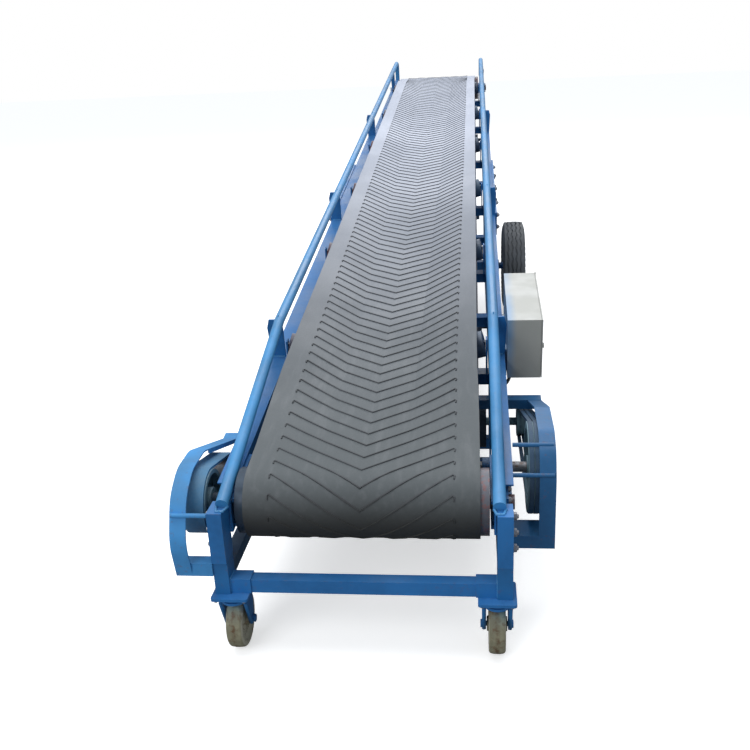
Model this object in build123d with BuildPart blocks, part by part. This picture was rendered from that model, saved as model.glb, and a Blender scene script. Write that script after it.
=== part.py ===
"""Portable belt conveyor: an inclined troughed belt on a channel frame, with side rails, two
road wheels on an axle near the middle and two swivel casters under the tail.

Frame: X across the belt, +Y along the ground from the tail towards the head, +Z up, the floor
at Z = 0 and the origin at the middle of the footprint. All sizes are in millimetres.
"""

from build123d import *
import os
from math import asin, atan2, cos, degrees, radians, sin, tan

os.makedirs("parts", exist_ok=True)

# Belt and drums
belt_width = 620
belt_thickness = 8
drum_radius = 90
drum_half_length = 334
drum_spacing = 5850
drum_height = 403
drum_shaft_radius = 20
incline = 7.4
trough_angle = 14
centre_roller_span = 230
tail_transition = 640
head_transition = 430

# Chevron ribs on the belt's carrying side
rib_pitch = 60
rib_width = 5
rib_height = 3
rib_angle = 34
rib_reach = 240

# Frame
channel_inner_x = 345
channel_depth = 100
channel_top = 55
channel_wall = 5
channel_flange = 52
chute_hole_radius = 6.5
chute_hole_spacing = 50
head_flange = 30
head_section_start = 4200
channel_overhang = 300
cope_depth = 10
cope_end = 0
splice_length = 1000
splice_start = 2270
tie_size = 40

# Side rails and their brackets
rail_radius = 17
rail_x = 358
rail_height = 189
rail_bend_at = 762
rail_overhang = 260
rail_clearance = 1
rail_bend_radius = 45
bracket_places = (762, 2250, 4000, 5700)
bracket_wall = 6

# Take-up of the tail drum
bearing_half = 34
bearing_slot = 120
guide_bar = 10
guide_depth = 8
guide_end = 158

# Idler sets and return rollers
idler_first = 755
idler_pitch = 915
idler_count = 6
roller_radius = 44
roller_gap = 0.3
wing_roller_length = 196
idler_plate = 6
idler_plate_width = 45
return_radius = 38
return_places = (1400, 2900, 4600)

# Tail posts, legs and crossbeam
post_x = 372
post_width = 40
post_depth = 70
post_setback = 113
post_top = 440
post_bottom = 292
leg_bottom = 196
leg_width = 34
leg_depth = 60

# Casters
caster_x = 352
caster_radius = 79
caster_tread = 50
caster_trail = 32
caster_plate = 8
caster_plate_width = 100
caster_plate_length = 110
fork_wall = 6
fork_gap = 58

# Road wheels and trestle
wheel_y = 3216
tyre_radius = 260
tyre_width = 130
tyre_x = 525
rim_radius = 126
rim_flange = 14
rim_width = 100
axle_tube = 60
stub_axle_radius = 19
hub_radius = 45
trestle_tube = 40
trestle_front = 2300
trestle_back = 4100
runner_width = 36
runner_height = 38
runner_bottom = 220

# Belt drive
big_pulley_left = 84
small_pulley_left = 32
left_pulley_x = 447
left_pulley_width = 66
counter_y = 200
counter_z = 4
big_pulley_right = 124
right_pulley_x = 465
right_pulley_width = 48
motor_y = 816
motor_z = -123
motor_radius = 92
motor_pulley_radius = 46
motor_half_length = 130
motor_x = 205
flat_belt_thickness = 7
v_belt_thickness = 8
v_belt_width = 12
groove_count = 3
groove_pitch = 15
groove_depth = 5
countershaft_radius = 15

# Drive guards
guard_wall = 4
guard_width = 44
guard_left_x = 492
guard_right_x = 512
guard_rod_radius = 6
guard_bar = 38
guard_lip = 12

# Control box
box_depth = 110
box_start = 735
box_length = 415
box_bottom = -22
box_height = 212
box_wall = 4
box_standoff = 8
hinge_radius = 4
box_door_thickness = 4
cable_radius = 6

running_gap = 0.5

# The drum spacing and the rails set the overall length, which the origin halves.
slope = radians(incline)
channel_end = drum_spacing + channel_overhang
rail_end_at = drum_spacing + rail_overhang
front_reach = post_setback + caster_plate_length / 2
rear_reach = channel_end * cos(slope) + (channel_depth - channel_top) * sin(slope)
tail_y = -(rear_reach - front_reach) / 2

conveyor = Plane(
    origin=(0, tail_y, drum_height), x_dir=(1, 0, 0), z_dir=(0, -sin(slope), cos(slope))
)


def side(x):
    """Plane across the belt at x: its X runs along the conveyor, its Y up from the belt."""
    return Plane(
        origin=conveyor.from_local_coords((x, 0, 0)), x_dir=conveyor.y_dir, z_dir=(1, 0, 0)
    )


def across(s):
    """Plane at the distance s along the conveyor: X across the belt, Y up from it."""
    return Plane(
        origin=conveyor.from_local_coords((0, s, 0)), x_dir=(1, 0, 0), z_dir=-conveyor.y_dir
    )


def upright(x):
    """Level plane facing across the belt at x: its X is level from the tail drum, its Y is up."""
    return Plane(origin=(x, tail_y, drum_height), x_dir=(0, 1, 0), z_dir=(1, 0, 0))


def level(z):
    """Horizontal plane at the height z, with its origin under the tail drum."""
    return Plane(origin=(0, tail_y, z), x_dir=(1, 0, 0), z_dir=(0, 0, 1))


def save(part, label):
    part.label = label
    export_step(part, f"parts/{label}.step")


def mirrored(part):
    return mirror(part, about=Plane.YZ)


def loop_outline(centre_a, radius_a, centre_b, radius_b):
    """Outline of a belt round two circles: their outer tangents joined by two arcs."""
    ya, za = centre_a
    yb, zb = centre_b
    run = ((yb - ya) ** 2 + (zb - za) ** 2) ** 0.5
    lean = atan2(zb - za, yb - ya)
    swing = asin((radius_a - radius_b) / run)
    up = lean + radians(90) - swing
    down = lean - radians(90) + swing

    def on(centre, radius, angle):
        return (centre[0] + radius * cos(angle), centre[1] + radius * sin(angle))

    top_a, low_a = on(centre_a, radius_a, up), on(centre_a, radius_a, down)
    top_b, low_b = on(centre_b, radius_b, up), on(centre_b, radius_b, down)
    far_a = on(centre_a, radius_a, lean + radians(180))
    far_b = on(centre_b, radius_b, lean)
    Line(top_a, top_b)
    ThreePointArc(top_b, far_b, low_b)
    Line(low_b, low_a)
    ThreePointArc(low_a, far_a, top_a)


# Conveyor belt: one closed loop, troughed on top and flat below
wing = (belt_width - centre_roller_span) / 2
trough = radians(trough_angle)
half_centre = centre_roller_span / 2
belt_outer = drum_radius + belt_thickness


def wing_section(s, share, low, high):
    """Section of a wing of the top run, low to high above the conveyor's axis at the wing's root.

    The share of the full trough goes from 0 (flat) to 1.
    """
    turn = trough * share
    reach = half_centre + wing * cos(turn)
    rise = wing * sin(turn)
    with BuildSketch(across(s)) as section:
        with BuildLine():
            Polyline(
                (half_centre, low),
                (reach, low + rise),
                (reach, high + rise),
                (half_centre, high),
                close=True,
            )
        make_face()
    return section.sketch


def add_wing(low, high):
    """Loft one wing of the top run from drum to drum."""
    for near, far in zip(stations, stations[1:]):
        loft(sections=[wing_section(*near, low, high), wing_section(*far, low, high)], ruled=True)


def trough_share(u):
    """Smooth rise from flat, at a drum, to the full trough."""
    return u * u * (3 - 2 * u)


def belt_loop():
    """Side outline of the whole loop: straight runs and half circles round both drums."""
    for radius, mode in ((belt_outer, Mode.ADD), (drum_radius, Mode.SUBTRACT)):
        with Locations((drum_spacing / 2, 0)):
            SlotCenterToCenter(drum_spacing, 2 * radius, mode=mode)


transition_steps = 5
steps = [i / transition_steps for i in range(transition_steps + 1)]
tail_stations = [(u * tail_transition, trough_share(u)) for u in steps]
head_stations = [(drum_spacing - u * head_transition, trough_share(u)) for u in reversed(steps)]
stations = tail_stations + head_stations
with BuildPart() as belt:
    with BuildSketch(side(half_centre)) as wing_loop:
        belt_loop()
        with Locations((drum_spacing / 2, drum_radius)):
            Rectangle(drum_spacing, 3 * belt_thickness, mode=Mode.SUBTRACT)
    extrude(amount=wing)
    add_wing(drum_radius, belt_outer)
    mirror(about=Plane.YZ)
    with BuildSketch(side(-half_centre)) as centre_loop:
        belt_loop()
    extrude(amount=2 * half_centre)
save(belt.part, "belt")

# Chevron ribs: a thin layer on the top run, kept only where the chevrons are
rib_top = belt_outer + rib_height
rib_run = rib_reach * tan(radians(rib_angle))
rib_count = int((drum_spacing - rib_run) / rib_pitch)
with BuildPart() as belt_ribs:
    add_wing(belt_outer, rib_top)
    mirror(about=Plane.YZ)
    with BuildSketch(side(-half_centre)) as centre_layer:
        with Locations((drum_spacing / 2, belt_outer + rib_height / 2)):
            Rectangle(drum_spacing, rib_height)
    extrude(amount=2 * half_centre)
    with BuildSketch(conveyor) as chevrons:
        for i in range(rib_count):
            start = i * rib_pitch
            with BuildLine():
                Polyline(
                    (0, start),
                    (rib_reach, start + rib_run),
                    (rib_reach, start + rib_run + rib_width),
                    (0, start + rib_width),
                    (-rib_reach, start + rib_run + rib_width),
                    (-rib_reach, start + rib_run),
                    close=True,
                )
            make_face()
    extrude(amount=2 * belt_outer, mode=Mode.INTERSECT)
save(belt_ribs.part, "belt_ribs")


# Drums with their end discs and shafts
def drum(s, shaft_left, shaft_right, label):
    disc_wall = 8
    recess = 30
    bore_radius = drum_radius - 8
    with BuildPart() as piece:
        with BuildSketch(side(-drum_half_length).offset(0)) as shell:
            with Locations((s, 0)):
                Circle(drum_radius - running_gap)
        extrude(amount=2 * drum_half_length)
        for x, turn in ((-drum_half_length, 1), (drum_half_length, -1)):
            with BuildSketch(side(x)) as hollow:
                with Locations((s, 0)):
                    Circle(bore_radius)
                    Circle(drum_shaft_radius + disc_wall, mode=Mode.SUBTRACT)
            extrude(amount=turn * recess, mode=Mode.SUBTRACT)
        with BuildSketch(side(-shaft_left)) as shaft:
            with Locations((s, 0)):
                Circle(drum_shaft_radius)
        extrude(amount=shaft_left + shaft_right)
    save(piece.part, label)


left_shaft_reach = left_pulley_x + left_pulley_width / 2 + 6
bearing_reach = channel_inner_x + channel_flange + 3
drum(0, left_shaft_reach, bearing_reach, "tail_drum")
drum(drum_spacing, bearing_reach, bearing_reach, "head_drum")


def level_point(s, n):
    """Level coordinates of the point s along the conveyor and n up from it."""
    return (s * cos(slope) - n * sin(slope), s * sin(slope) + n * cos(slope))


# Side channels, with their bearing slots; the tail end is cut off upright behind the post
post_back = -post_setback + post_depth / 2
chute_place = level_point(channel_end - 85, channel_top - channel_depth / 2)
with BuildPart() as channel_right:
    with BuildSketch(across(-2 * channel_depth)) as full:
        with Locations((channel_inner_x + channel_flange / 2, channel_top - channel_depth / 2)):
            Rectangle(channel_flange, channel_depth)
        with Locations(
            (channel_inner_x + channel_wall + channel_flange / 2, channel_top - channel_depth / 2)
        ):
            Rectangle(channel_flange, channel_depth - 2 * channel_wall, mode=Mode.SUBTRACT)
    extrude(amount=-(2 * channel_depth + head_section_start))
    with BuildSketch(across(head_section_start)) as slim:
        with Locations((channel_inner_x + head_flange / 2, channel_top - channel_depth / 2)):
            Rectangle(head_flange, channel_depth)
        with Locations(
            (channel_inner_x + channel_wall + head_flange / 2, channel_top - channel_depth / 2)
        ):
            Rectangle(head_flange, channel_depth - 2 * channel_wall, mode=Mode.SUBTRACT)
    extrude(amount=-(channel_end - head_section_start))
    # Splice plate outside the flanges, over the trestle
    with BuildSketch(side(channel_inner_x + channel_flange)) as splice:
        with Locations((splice_start + splice_length / 2, channel_top - channel_depth / 2)):
            Rectangle(splice_length, channel_depth + 2 * channel_wall)
            with GridLocations(splice_length - 60, 60, 2, 2):
                Circle(8, mode=Mode.SUBTRACT)
    extrude(amount=2 * channel_wall)
    with BuildSketch(side(channel_inner_x)) as slots:
        with Locations((bearing_slot / 6, 0)):
            Rectangle(bearing_slot + 2 * running_gap, 2 * bearing_half + 2 * running_gap)
        with Locations((drum_spacing, 0)):
            Rectangle(2 * bearing_half + 2 * running_gap, 2 * bearing_half + 2 * running_gap)
    extrude(amount=channel_wall, mode=Mode.SUBTRACT)
    # Guide bars above and below the sliding bearing, inside the web
    for n in (-bearing_half - guide_bar / 2 - running_gap, bearing_half + guide_bar / 2 + running_gap):
        with BuildSketch(side(channel_inner_x - guide_depth)) as guide:
            with Locations(((guide_end - bearing_slot / 2) / 2, n)):
                Rectangle(guide_end + bearing_slot / 2, guide_bar)
        extrude(amount=guide_depth)
    # The tail end is coped under the rail
    with BuildSketch(side(channel_inner_x)) as cope:
        with Locations((cope_end - channel_depth, channel_top - cope_depth / 2)):
            Rectangle(2 * channel_depth, cope_depth)
    extrude(amount=channel_flange, mode=Mode.SUBTRACT)
    with BuildSketch(upright(channel_inner_x)) as web_holes:
        with Locations((counter_y, counter_z)):
            Circle(countershaft_radius + 2)
        with Locations(chute_place):
            with GridLocations(0, chute_hole_spacing, 1, 2):
                Circle(chute_hole_radius)
    extrude(amount=channel_wall, mode=Mode.SUBTRACT)
    with BuildSketch(upright(channel_inner_x - channel_wall)) as behind_post:
        with Locations((post_back + running_gap - channel_end / 2, 0)):
            Rectangle(channel_end, 4 * channel_depth)
    extrude(amount=channel_flange + 4 * channel_wall, mode=Mode.SUBTRACT)
save(channel_right.part, "side_channel_right")
save(mirrored(channel_right.part), "side_channel_left")

# Bearing housings in the slots, with the take-up screws behind the tail ones
screw_length = 130
nut_plate_width = channel_flange - channel_wall - 6
screw_x = channel_inner_x + channel_wall + running_gap + nut_plate_width / 2
with BuildPart() as tail_bearings:
    with BuildSketch(side(channel_inner_x - 2)) as block:
        Rectangle(2 * bearing_half, 2 * bearing_half)
        Circle(drum_shaft_radius + 0.1, mode=Mode.SUBTRACT)
    extrude(amount=40)
    with BuildSketch(across(bearing_half)) as screw:
        with Locations((screw_x, 0)):
            Circle(8)
    extrude(amount=-screw_length)
    with BuildSketch(across(bearing_half + screw_length - 30)) as nut_plate:
        with Locations((screw_x, channel_top - channel_depth / 2)):
            Rectangle(nut_plate_width, channel_depth - 2 * channel_wall - 2 * running_gap)
    extrude(amount=-10)
    mirror(about=Plane.YZ)
save(tail_bearings.part, "tail_bearings")

with BuildPart() as head_bearings:
    with BuildSketch(side(channel_inner_x - 2)) as block:
        with Locations((drum_spacing, 0)):
            Rectangle(2 * bearing_half, 2 * bearing_half)
            Circle(drum_shaft_radius + 0.1, mode=Mode.SUBTRACT)
    extrude(amount=44)
    mirror(about=Plane.YZ)
save(head_bearings.part, "head_bearings")

# Ties between the channels, one midway between each pair of idler sets
tie_places = [idler_first + idler_pitch * (i + 0.5) for i in range(idler_count - 1)] + [channel_end - 60]
tie_drop = channel_top - channel_depth + tie_size / 2
with BuildPart() as cross_ties:
    for s in tie_places:
        with BuildSketch(side(-channel_inner_x)) as tie:
            with Locations((s, tie_drop)):
                Rectangle(tie_size, tie_size)
        extrude(amount=2 * channel_inner_x)
save(cross_ties.part, "cross_ties")

# Idler sets: a centre roller and two wing rollers on plates welded to a base channel
wing_axis_drop = roller_radius + roller_gap
centre_axis = drum_radius - wing_axis_drop
outer_plate_x = 334
inner_plate_x = half_centre + idler_plate / 2
spindle_width = 18
spindle_flats = 14
wing_start = 14
spindle_reach = 40


def wing_plane(s):
    """Plane square to a right-hand wing roller's axis, at the belt's bend line."""
    axis = conveyor.x_dir * cos(trough) + conveyor.z_dir * sin(trough)
    down = conveyor.x_dir * sin(trough) - conveyor.z_dir * cos(trough)
    start = conveyor.from_local_coords((half_centre, s, drum_radius))
    return Plane(origin=start + down * wing_axis_drop, x_dir=conveyor.y_dir, z_dir=axis)


idler_places = [idler_first + idler_pitch * i for i in range(idler_count)]
with BuildPart() as carrying_rollers:
    for s in idler_places:
        with BuildSketch(wing_plane(s).offset(wing_start)) as wing_roller:
            Circle(roller_radius)
        extrude(amount=wing_roller_length)
        with BuildSketch(wing_plane(s).offset(wing_start - spindle_reach)) as wing_spindle:
            Rectangle(spindle_flats, spindle_width)
        extrude(amount=wing_roller_length + 2 * spindle_reach)
    for x, width in (
        (inner_plate_x + idler_plate / 2 + running_gap - 200, 200),
        (outer_plate_x - running_gap, 200),
    ):
        with BuildSketch(side(x)) as trim:
            with Locations((drum_spacing / 2, 0)):
                Rectangle(drum_spacing, 4 * drum_radius)
        extrude(amount=width, mode=Mode.SUBTRACT)
    mirror(about=Plane.YZ)
    for s in idler_places:
        with BuildSketch(side(-half_centre + 8)) as centre_roller:
            with Locations((s, centre_axis)):
                Circle(roller_radius)
        extrude(amount=2 * half_centre - 16)
        with BuildSketch(side(-inner_plate_x + idler_plate / 2 + running_gap)) as centre_spindle:
            with Locations((s, centre_axis)):
                Rectangle(spindle_flats, spindle_width)
        extrude(amount=2 * inner_plate_x - idler_plate - 2 * running_gap)
save(carrying_rollers.part, "carrying_rollers")

base_top = -6
base_depth = 40
outer_plate_top = drum_radius + 28
with BuildPart() as idler_stands:
    for s in idler_places:
        with BuildSketch(side(-channel_inner_x)) as base:
            with Locations((s, base_top - base_depth / 2)):
                Rectangle(idler_plate_width, base_depth)
        extrude(amount=2 * channel_inner_x)
        for sign in (-1, 1):
            with BuildSketch(side(sign * inner_plate_x - idler_plate / 2)) as inner_plate:
                with Locations((s, (base_top + centre_axis) / 2)):
                    Rectangle(idler_plate_width, centre_axis - base_top)
                with Locations((s, centre_axis)):
                    Circle(idler_plate_width / 2)
            extrude(amount=idler_plate)
            with BuildSketch(side(sign * (outer_plate_x + idler_plate / 2) - idler_plate / 2)) as outer_plate:
                with BuildLine():
                    Polyline(
                        (s - 35, base_top),
                        (s + 25, base_top),
                        (s + 12, 60),
                        (s + 14, outer_plate_top),
                        (s - 14, outer_plate_top),
                        (s - 16, 70),
                        close=True,
                    )
                make_face()
            extrude(amount=idler_plate)
save(idler_stands.part, "idler_stands")

# Flat return rollers on hangers under the channels
return_axis = -belt_outer - return_radius - roller_gap
channel_bottom = channel_top - channel_depth
with BuildPart() as return_rollers:
    for s in return_places:
        with BuildSketch(side(-drum_half_length + 8)) as return_roller:
            with Locations((s, return_axis)):
                Circle(return_radius)
        extrude(amount=2 * drum_half_length - 16)
        with BuildSketch(side(-channel_inner_x - running_gap)) as return_shaft:
            with Locations((s, return_axis)):
                Rectangle(spindle_flats, spindle_width)
        extrude(amount=2 * channel_inner_x + 2 * running_gap)
save(return_rollers.part, "return_rollers")

hanger_x = channel_inner_x + 1
with BuildPart() as return_hangers:
    for s in return_places:
        with BuildSketch(side(hanger_x)) as hanger:
            with Locations((s, (channel_bottom + return_axis) / 2)):
                Rectangle(idler_plate_width, channel_bottom - return_axis)
            with Locations((s, return_axis)):
                Circle(idler_plate_width / 2)
        extrude(amount=idler_plate)
    mirror(about=Plane.YZ)
save(return_hangers.part, "return_hangers")

# Side rails: from the post's top up to the first bracket, along the belt, and down at the head
with BuildPart() as rail_right:
    with BuildLine() as rail_line:
        rail_plane = side(rail_x)
        tail_point = rail_plane.to_local_coords(
            Vector(rail_x, tail_y - post_setback, post_top + rail_radius * 0.5)
        )
        points = [
            (tail_point.X, tail_point.Y),
            (rail_bend_at, rail_height),
            (rail_end_at, rail_height),
            (rail_end_at, channel_top),
        ]
        FilletPolyline(
            *[rail_plane.from_local_coords(p) for p in points],
            radius=rail_bend_radius,
        )
    with BuildSketch(Plane(origin=rail_line.line @ 0, z_dir=rail_line.line % 0)) as rail_section:
        Circle(rail_radius)
    sweep()
    with BuildSketch(level(post_top)) as under_rail:
        with Locations((rail_x, -post_setback)):
            Rectangle(4 * rail_radius, 4 * post_depth)
    extrude(amount=-2 * post_depth, mode=Mode.SUBTRACT)
save(rail_right.part, "rail_right")
save(mirrored(rail_right.part), "rail_left")

# Rail brackets: an upright plate with a flange, standing on the channel's top
flange_edge = channel_inner_x + channel_flange
with BuildPart() as rail_brackets:
    for s in bracket_places:
        outer_x = flange_edge if s < head_section_start else channel_inner_x + head_flange
        with BuildSketch(across(s - bracket_wall / 2)) as bracket:
            with BuildLine():
                Polyline(
                    (channel_inner_x + 4, channel_top),
                    (outer_x, channel_top),
                    (outer_x + 6, rail_height - 25),
                    (outer_x - 2, rail_height + 4),
                    (rail_x - 2, rail_height + 4),
                    (channel_inner_x + 4, rail_height - rail_radius - 12),
                    close=True,
                )
            make_face()
            with Locations((rail_x, rail_height)):
                Circle(rail_radius + rail_clearance, mode=Mode.SUBTRACT)
        extrude(amount=-bracket_wall)
    mirror(about=Plane.YZ)
save(rail_brackets.part, "rail_brackets")

# Tail posts: rectangular tubes, open below over the legs
post_wall = 4
with BuildPart() as tail_posts:
    with BuildSketch(level(post_bottom)) as post_tube:
        with Locations((post_x, -post_setback)):
            Rectangle(post_width, post_depth)
            Rectangle(post_width - 2 * post_wall, post_depth - 2 * post_wall, mode=Mode.SUBTRACT)
    extrude(amount=post_top - post_bottom - post_wall)
    with BuildSketch(level(post_top - post_wall)) as post_cap:
        with Locations((post_x, -post_setback)):
            Rectangle(post_width, post_depth)
    extrude(amount=post_wall)
    mirror(about=Plane.YZ)
save(tail_posts.part, "tail_posts")

leg_inside = 60
with BuildPart() as tail_legs:
    with BuildSketch(level(leg_bottom)) as leg_section:
        with Locations((post_x, -post_setback)):
            Rectangle(post_width, leg_depth)
    extrude(amount=post_bottom - leg_bottom)
    with BuildSketch(level(post_bottom)) as leg_tongue:
        with Locations((post_x, -post_setback)):
            Rectangle(
                post_width - 2 * post_wall - 2 * running_gap,
                post_depth - 2 * post_wall - 2 * running_gap,
            )
    extrude(amount=leg_inside)
    mirror(about=Plane.YZ)
save(tail_legs.part, "tail_legs")

# Crossbeam between the legs, with a sleeve plate at each end
beam_size = 38
beam_inner = post_x - post_width / 2
with BuildPart() as crossbeam:
    with BuildSketch(upright(-beam_inner)) as beam_section:
        with Locations((-post_setback, leg_bottom + beam_size / 2 - drum_height)):
            Rectangle(beam_size, beam_size)
    extrude(amount=2 * beam_inner)
    with BuildSketch(upright(beam_inner - 55)) as sleeve:
        with Locations((-post_setback, leg_bottom + beam_size / 2 - drum_height + 2)):
            Rectangle(beam_size + 8, beam_size + 4)
    extrude(amount=55)
    mirror(about=Plane.YZ)
save(crossbeam.part, "tail_crossbeam")

# Base runners from the legs back to the axle, on both sides
leg_back = -post_setback + leg_depth / 2
axle_front = wheel_y - axle_tube / 2
with BuildPart() as base_runners:
    with BuildSketch(level(runner_bottom)) as runner:
        with Locations((post_x, (leg_back + axle_front) / 2)):
            Rectangle(runner_width, axle_front - leg_back)
    extrude(amount=runner_height)
    mirror(about=Plane.YZ)
save(base_runners.part, "base_runners")

# Casters: a fixed top plate, a swivelling fork and a rolling wheel
swivel_radius = 34
crown_bottom = 2 * caster_radius + 4
crown_wall = 7
race_height = 5
caster_y = -post_setback
axle_y = caster_y + caster_trail
hub_half = 27
bolt_bore = 7.3
caster_hub_radius = 20
web_half = 14


with BuildPart() as caster_plates:
    with BuildSketch(level(leg_bottom - caster_plate)) as top_plates:
        with Locations((-caster_x, caster_y), (caster_x, caster_y)):
            RectangleRounded(caster_plate_width, caster_plate_length, 8)
    extrude(amount=caster_plate)
    with BuildSketch(level(leg_bottom - caster_plate - race_height)) as races:
        with Locations((-caster_x, caster_y), (caster_x, caster_y)):
            Circle(swivel_radius)
    extrude(amount=race_height)
save(caster_plates.part, "caster_plates")


def caster(sign, name):
    x = sign * caster_x
    with BuildPart() as fork:
        with BuildSketch(level(crown_bottom)) as crown:
            with Locations((x, caster_y)):
                Circle(swivel_radius + 2)
            with Locations((x, caster_y + caster_trail / 2)):
                Rectangle(fork_gap + 2 * fork_wall, caster_trail + 30)
        extrude(amount=crown_wall)
        with BuildSketch(level(crown_bottom + crown_wall)) as bearing:
            with Locations((x, caster_y)):
                Circle(swivel_radius - 4)
        extrude(amount=leg_bottom - caster_plate - race_height - crown_bottom - crown_wall - running_gap)
        for cheek_x in (-fork_gap / 2 - fork_wall, fork_gap / 2):
            with BuildSketch(upright(x + cheek_x)) as cheek:
                with BuildLine():
                    Polyline(
                        (caster_y - 22, crown_bottom - drum_height),
                        (axle_y + 22, crown_bottom - drum_height),
                        (axle_y + 16, caster_radius - 8 - drum_height),
                        (axle_y - 16, caster_radius - 8 - drum_height),
                        close=True,
                    )
                make_face()
            extrude(amount=fork_wall)
        with BuildSketch(upright(x - fork_gap / 2 - fork_wall - 8)) as caster_bolt:
            with Locations((axle_y, caster_radius - drum_height)):
                Circle(7)
        extrude(amount=fork_gap + 2 * fork_wall + 16)
        for nut_x in (-fork_gap / 2 - fork_wall - 9, fork_gap / 2 + fork_wall):
            with BuildSketch(upright(x + nut_x)) as nut:
                with Locations((axle_y, caster_radius - drum_height)):
                    RegularPolygon(11, 6)
            extrude(amount=9)
    save(fork.part, f"caster_fork_{name}")
    with BuildPart() as wheel:
        tread_plane = Plane(origin=(x, tail_y + axle_y, caster_radius), x_dir=(1, 0, 0), z_dir=(0, 1, 0))
        with BuildSketch(tread_plane) as tread:
            with BuildLine():
                Polyline(
                    (-hub_half, bolt_bore),
                    (hub_half, bolt_bore),
                    (hub_half, caster_hub_radius),
                    (web_half, caster_radius - 22),
                    (caster_tread / 2, caster_radius - 14),
                    (caster_tread / 2, caster_radius),
                    (-caster_tread / 2, caster_radius),
                    (-caster_tread / 2, caster_radius - 14),
                    (-web_half, caster_radius - 22),
                    (-hub_half, caster_hub_radius),
                    close=True,
                )
            make_face()
        revolve(axis=Axis((x, tail_y + axle_y, caster_radius), (1, 0, 0)))
    save(wheel.part, f"caster_wheel_{name}")


caster(-1, "left")
caster(1, "right")

# Left belt drive: a wide pulley on the tail drum's shaft and a small one on the countershaft
with BuildPart() as pulley_left:
    with BuildSketch(side(-left_pulley_x - left_pulley_width / 2)) as rim:
        Circle(big_pulley_left)
        Circle(drum_shaft_radius, mode=Mode.SUBTRACT)
    extrude(amount=left_pulley_width)
    with BuildSketch(side(-left_pulley_x + left_pulley_width / 2)) as dish:
        Circle(big_pulley_left - 12)
        Circle(drum_shaft_radius + 14, mode=Mode.SUBTRACT)
    extrude(amount=-left_pulley_width * 0.35, mode=Mode.SUBTRACT)
save(pulley_left.part, "drum_pulley")

counter_centre = (counter_y, counter_z)
right_shaft_reach = right_pulley_x + right_pulley_width / 2 + 4
with BuildPart() as countershaft:
    with BuildSketch(upright(-left_shaft_reach)) as long_shaft:
        with Locations(counter_centre):
            Circle(countershaft_radius)
    extrude(amount=left_shaft_reach + right_shaft_reach)
    with BuildSketch(upright(-left_pulley_x - left_pulley_width / 2)) as small_rim:
        with Locations(counter_centre):
            Circle(small_pulley_left)
    extrude(amount=left_pulley_width)
save(countershaft.part, "countershaft")

with BuildPart() as left_belt:
    with BuildSketch(upright(-left_pulley_x - left_pulley_width / 2 + 3)) as left_loop:
        with BuildLine():
            loop_outline(
                (0, 0),
                big_pulley_left + flat_belt_thickness,
                counter_centre,
                small_pulley_left + flat_belt_thickness,
            )
        make_face()
        with BuildLine():
            loop_outline((0, 0), big_pulley_left + 0.2, counter_centre, small_pulley_left + 0.2)
        make_face(mode=Mode.SUBTRACT)
    extrude(amount=left_pulley_width - 6)
save(left_belt.part, "flat_drive_belt")

# Right belt drive: motor pulley, V-belts and the large grooved pulley on the countershaft
motor_centre = (motor_y, motor_z)
groove_places = [right_pulley_x + (i - (groove_count - 1) / 2) * groove_pitch for i in range(groove_count)]
groove_gap = 0.4
with BuildPart() as pulley_right:
    with BuildSketch(upright(right_pulley_x - right_pulley_width / 2)) as grooved_rim:
        with Locations(counter_centre):
            Circle(big_pulley_right + groove_depth)
            Circle(big_pulley_right - 14, mode=Mode.SUBTRACT)
            Circle(countershaft_radius + 18)
            Circle(countershaft_radius, mode=Mode.SUBTRACT)
    extrude(amount=right_pulley_width)
    for belt_x in groove_places:
        with BuildSketch(upright(belt_x - v_belt_width / 2 - groove_gap)) as groove:
            with Locations(counter_centre):
                Circle(big_pulley_right + groove_depth + 5)
                Circle(big_pulley_right, mode=Mode.SUBTRACT)
        extrude(amount=v_belt_width + 2 * groove_gap, mode=Mode.SUBTRACT)
    with BuildSketch(upright(right_pulley_x - 5)) as web:
        with Locations(counter_centre):
            Circle(big_pulley_right - 10)
            Circle(countershaft_radius + 5, mode=Mode.SUBTRACT)
            with PolarLocations((big_pulley_right + countershaft_radius) / 2, 5):
                Circle(24, mode=Mode.SUBTRACT)
    extrude(amount=10)
save(pulley_right.part, "large_pulley")

with BuildPart() as v_belts:
    for belt_x in groove_places:
        with BuildSketch(upright(belt_x - v_belt_width / 2)) as v_loop:
            with BuildLine():
                loop_outline(
                    counter_centre,
                    big_pulley_right + v_belt_thickness,
                    motor_centre,
                    motor_pulley_radius + v_belt_thickness,
                )
            make_face()
            with BuildLine():
                loop_outline(counter_centre, big_pulley_right + 0.2, motor_centre, motor_pulley_radius + 0.2)
            make_face(mode=Mode.SUBTRACT)
        extrude(amount=v_belt_width)
save(v_belts.part, "v_belts")

motor_shaft_length = right_pulley_x - right_pulley_width / 2 - motor_x - motor_half_length
with BuildPart() as motor_pulley:
    with BuildSketch(upright(right_pulley_x - right_pulley_width / 2)) as small_grooved:
        with Locations(motor_centre):
            Circle(motor_pulley_radius + groove_depth)
    extrude(amount=right_pulley_width)
    for belt_x in groove_places:
        with BuildSketch(upright(belt_x - v_belt_width / 2 - groove_gap)) as small_groove:
            with Locations(motor_centre):
                Circle(motor_pulley_radius + groove_depth + 5)
                Circle(motor_pulley_radius, mode=Mode.SUBTRACT)
        extrude(amount=v_belt_width + 2 * groove_gap, mode=Mode.SUBTRACT)
    with BuildSketch(upright(motor_x + motor_half_length)) as motor_shaft:
        with Locations(motor_centre):
            Circle(14)
    extrude(amount=motor_shaft_length)
save(motor_pulley.part, "motor_pulley")

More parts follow.
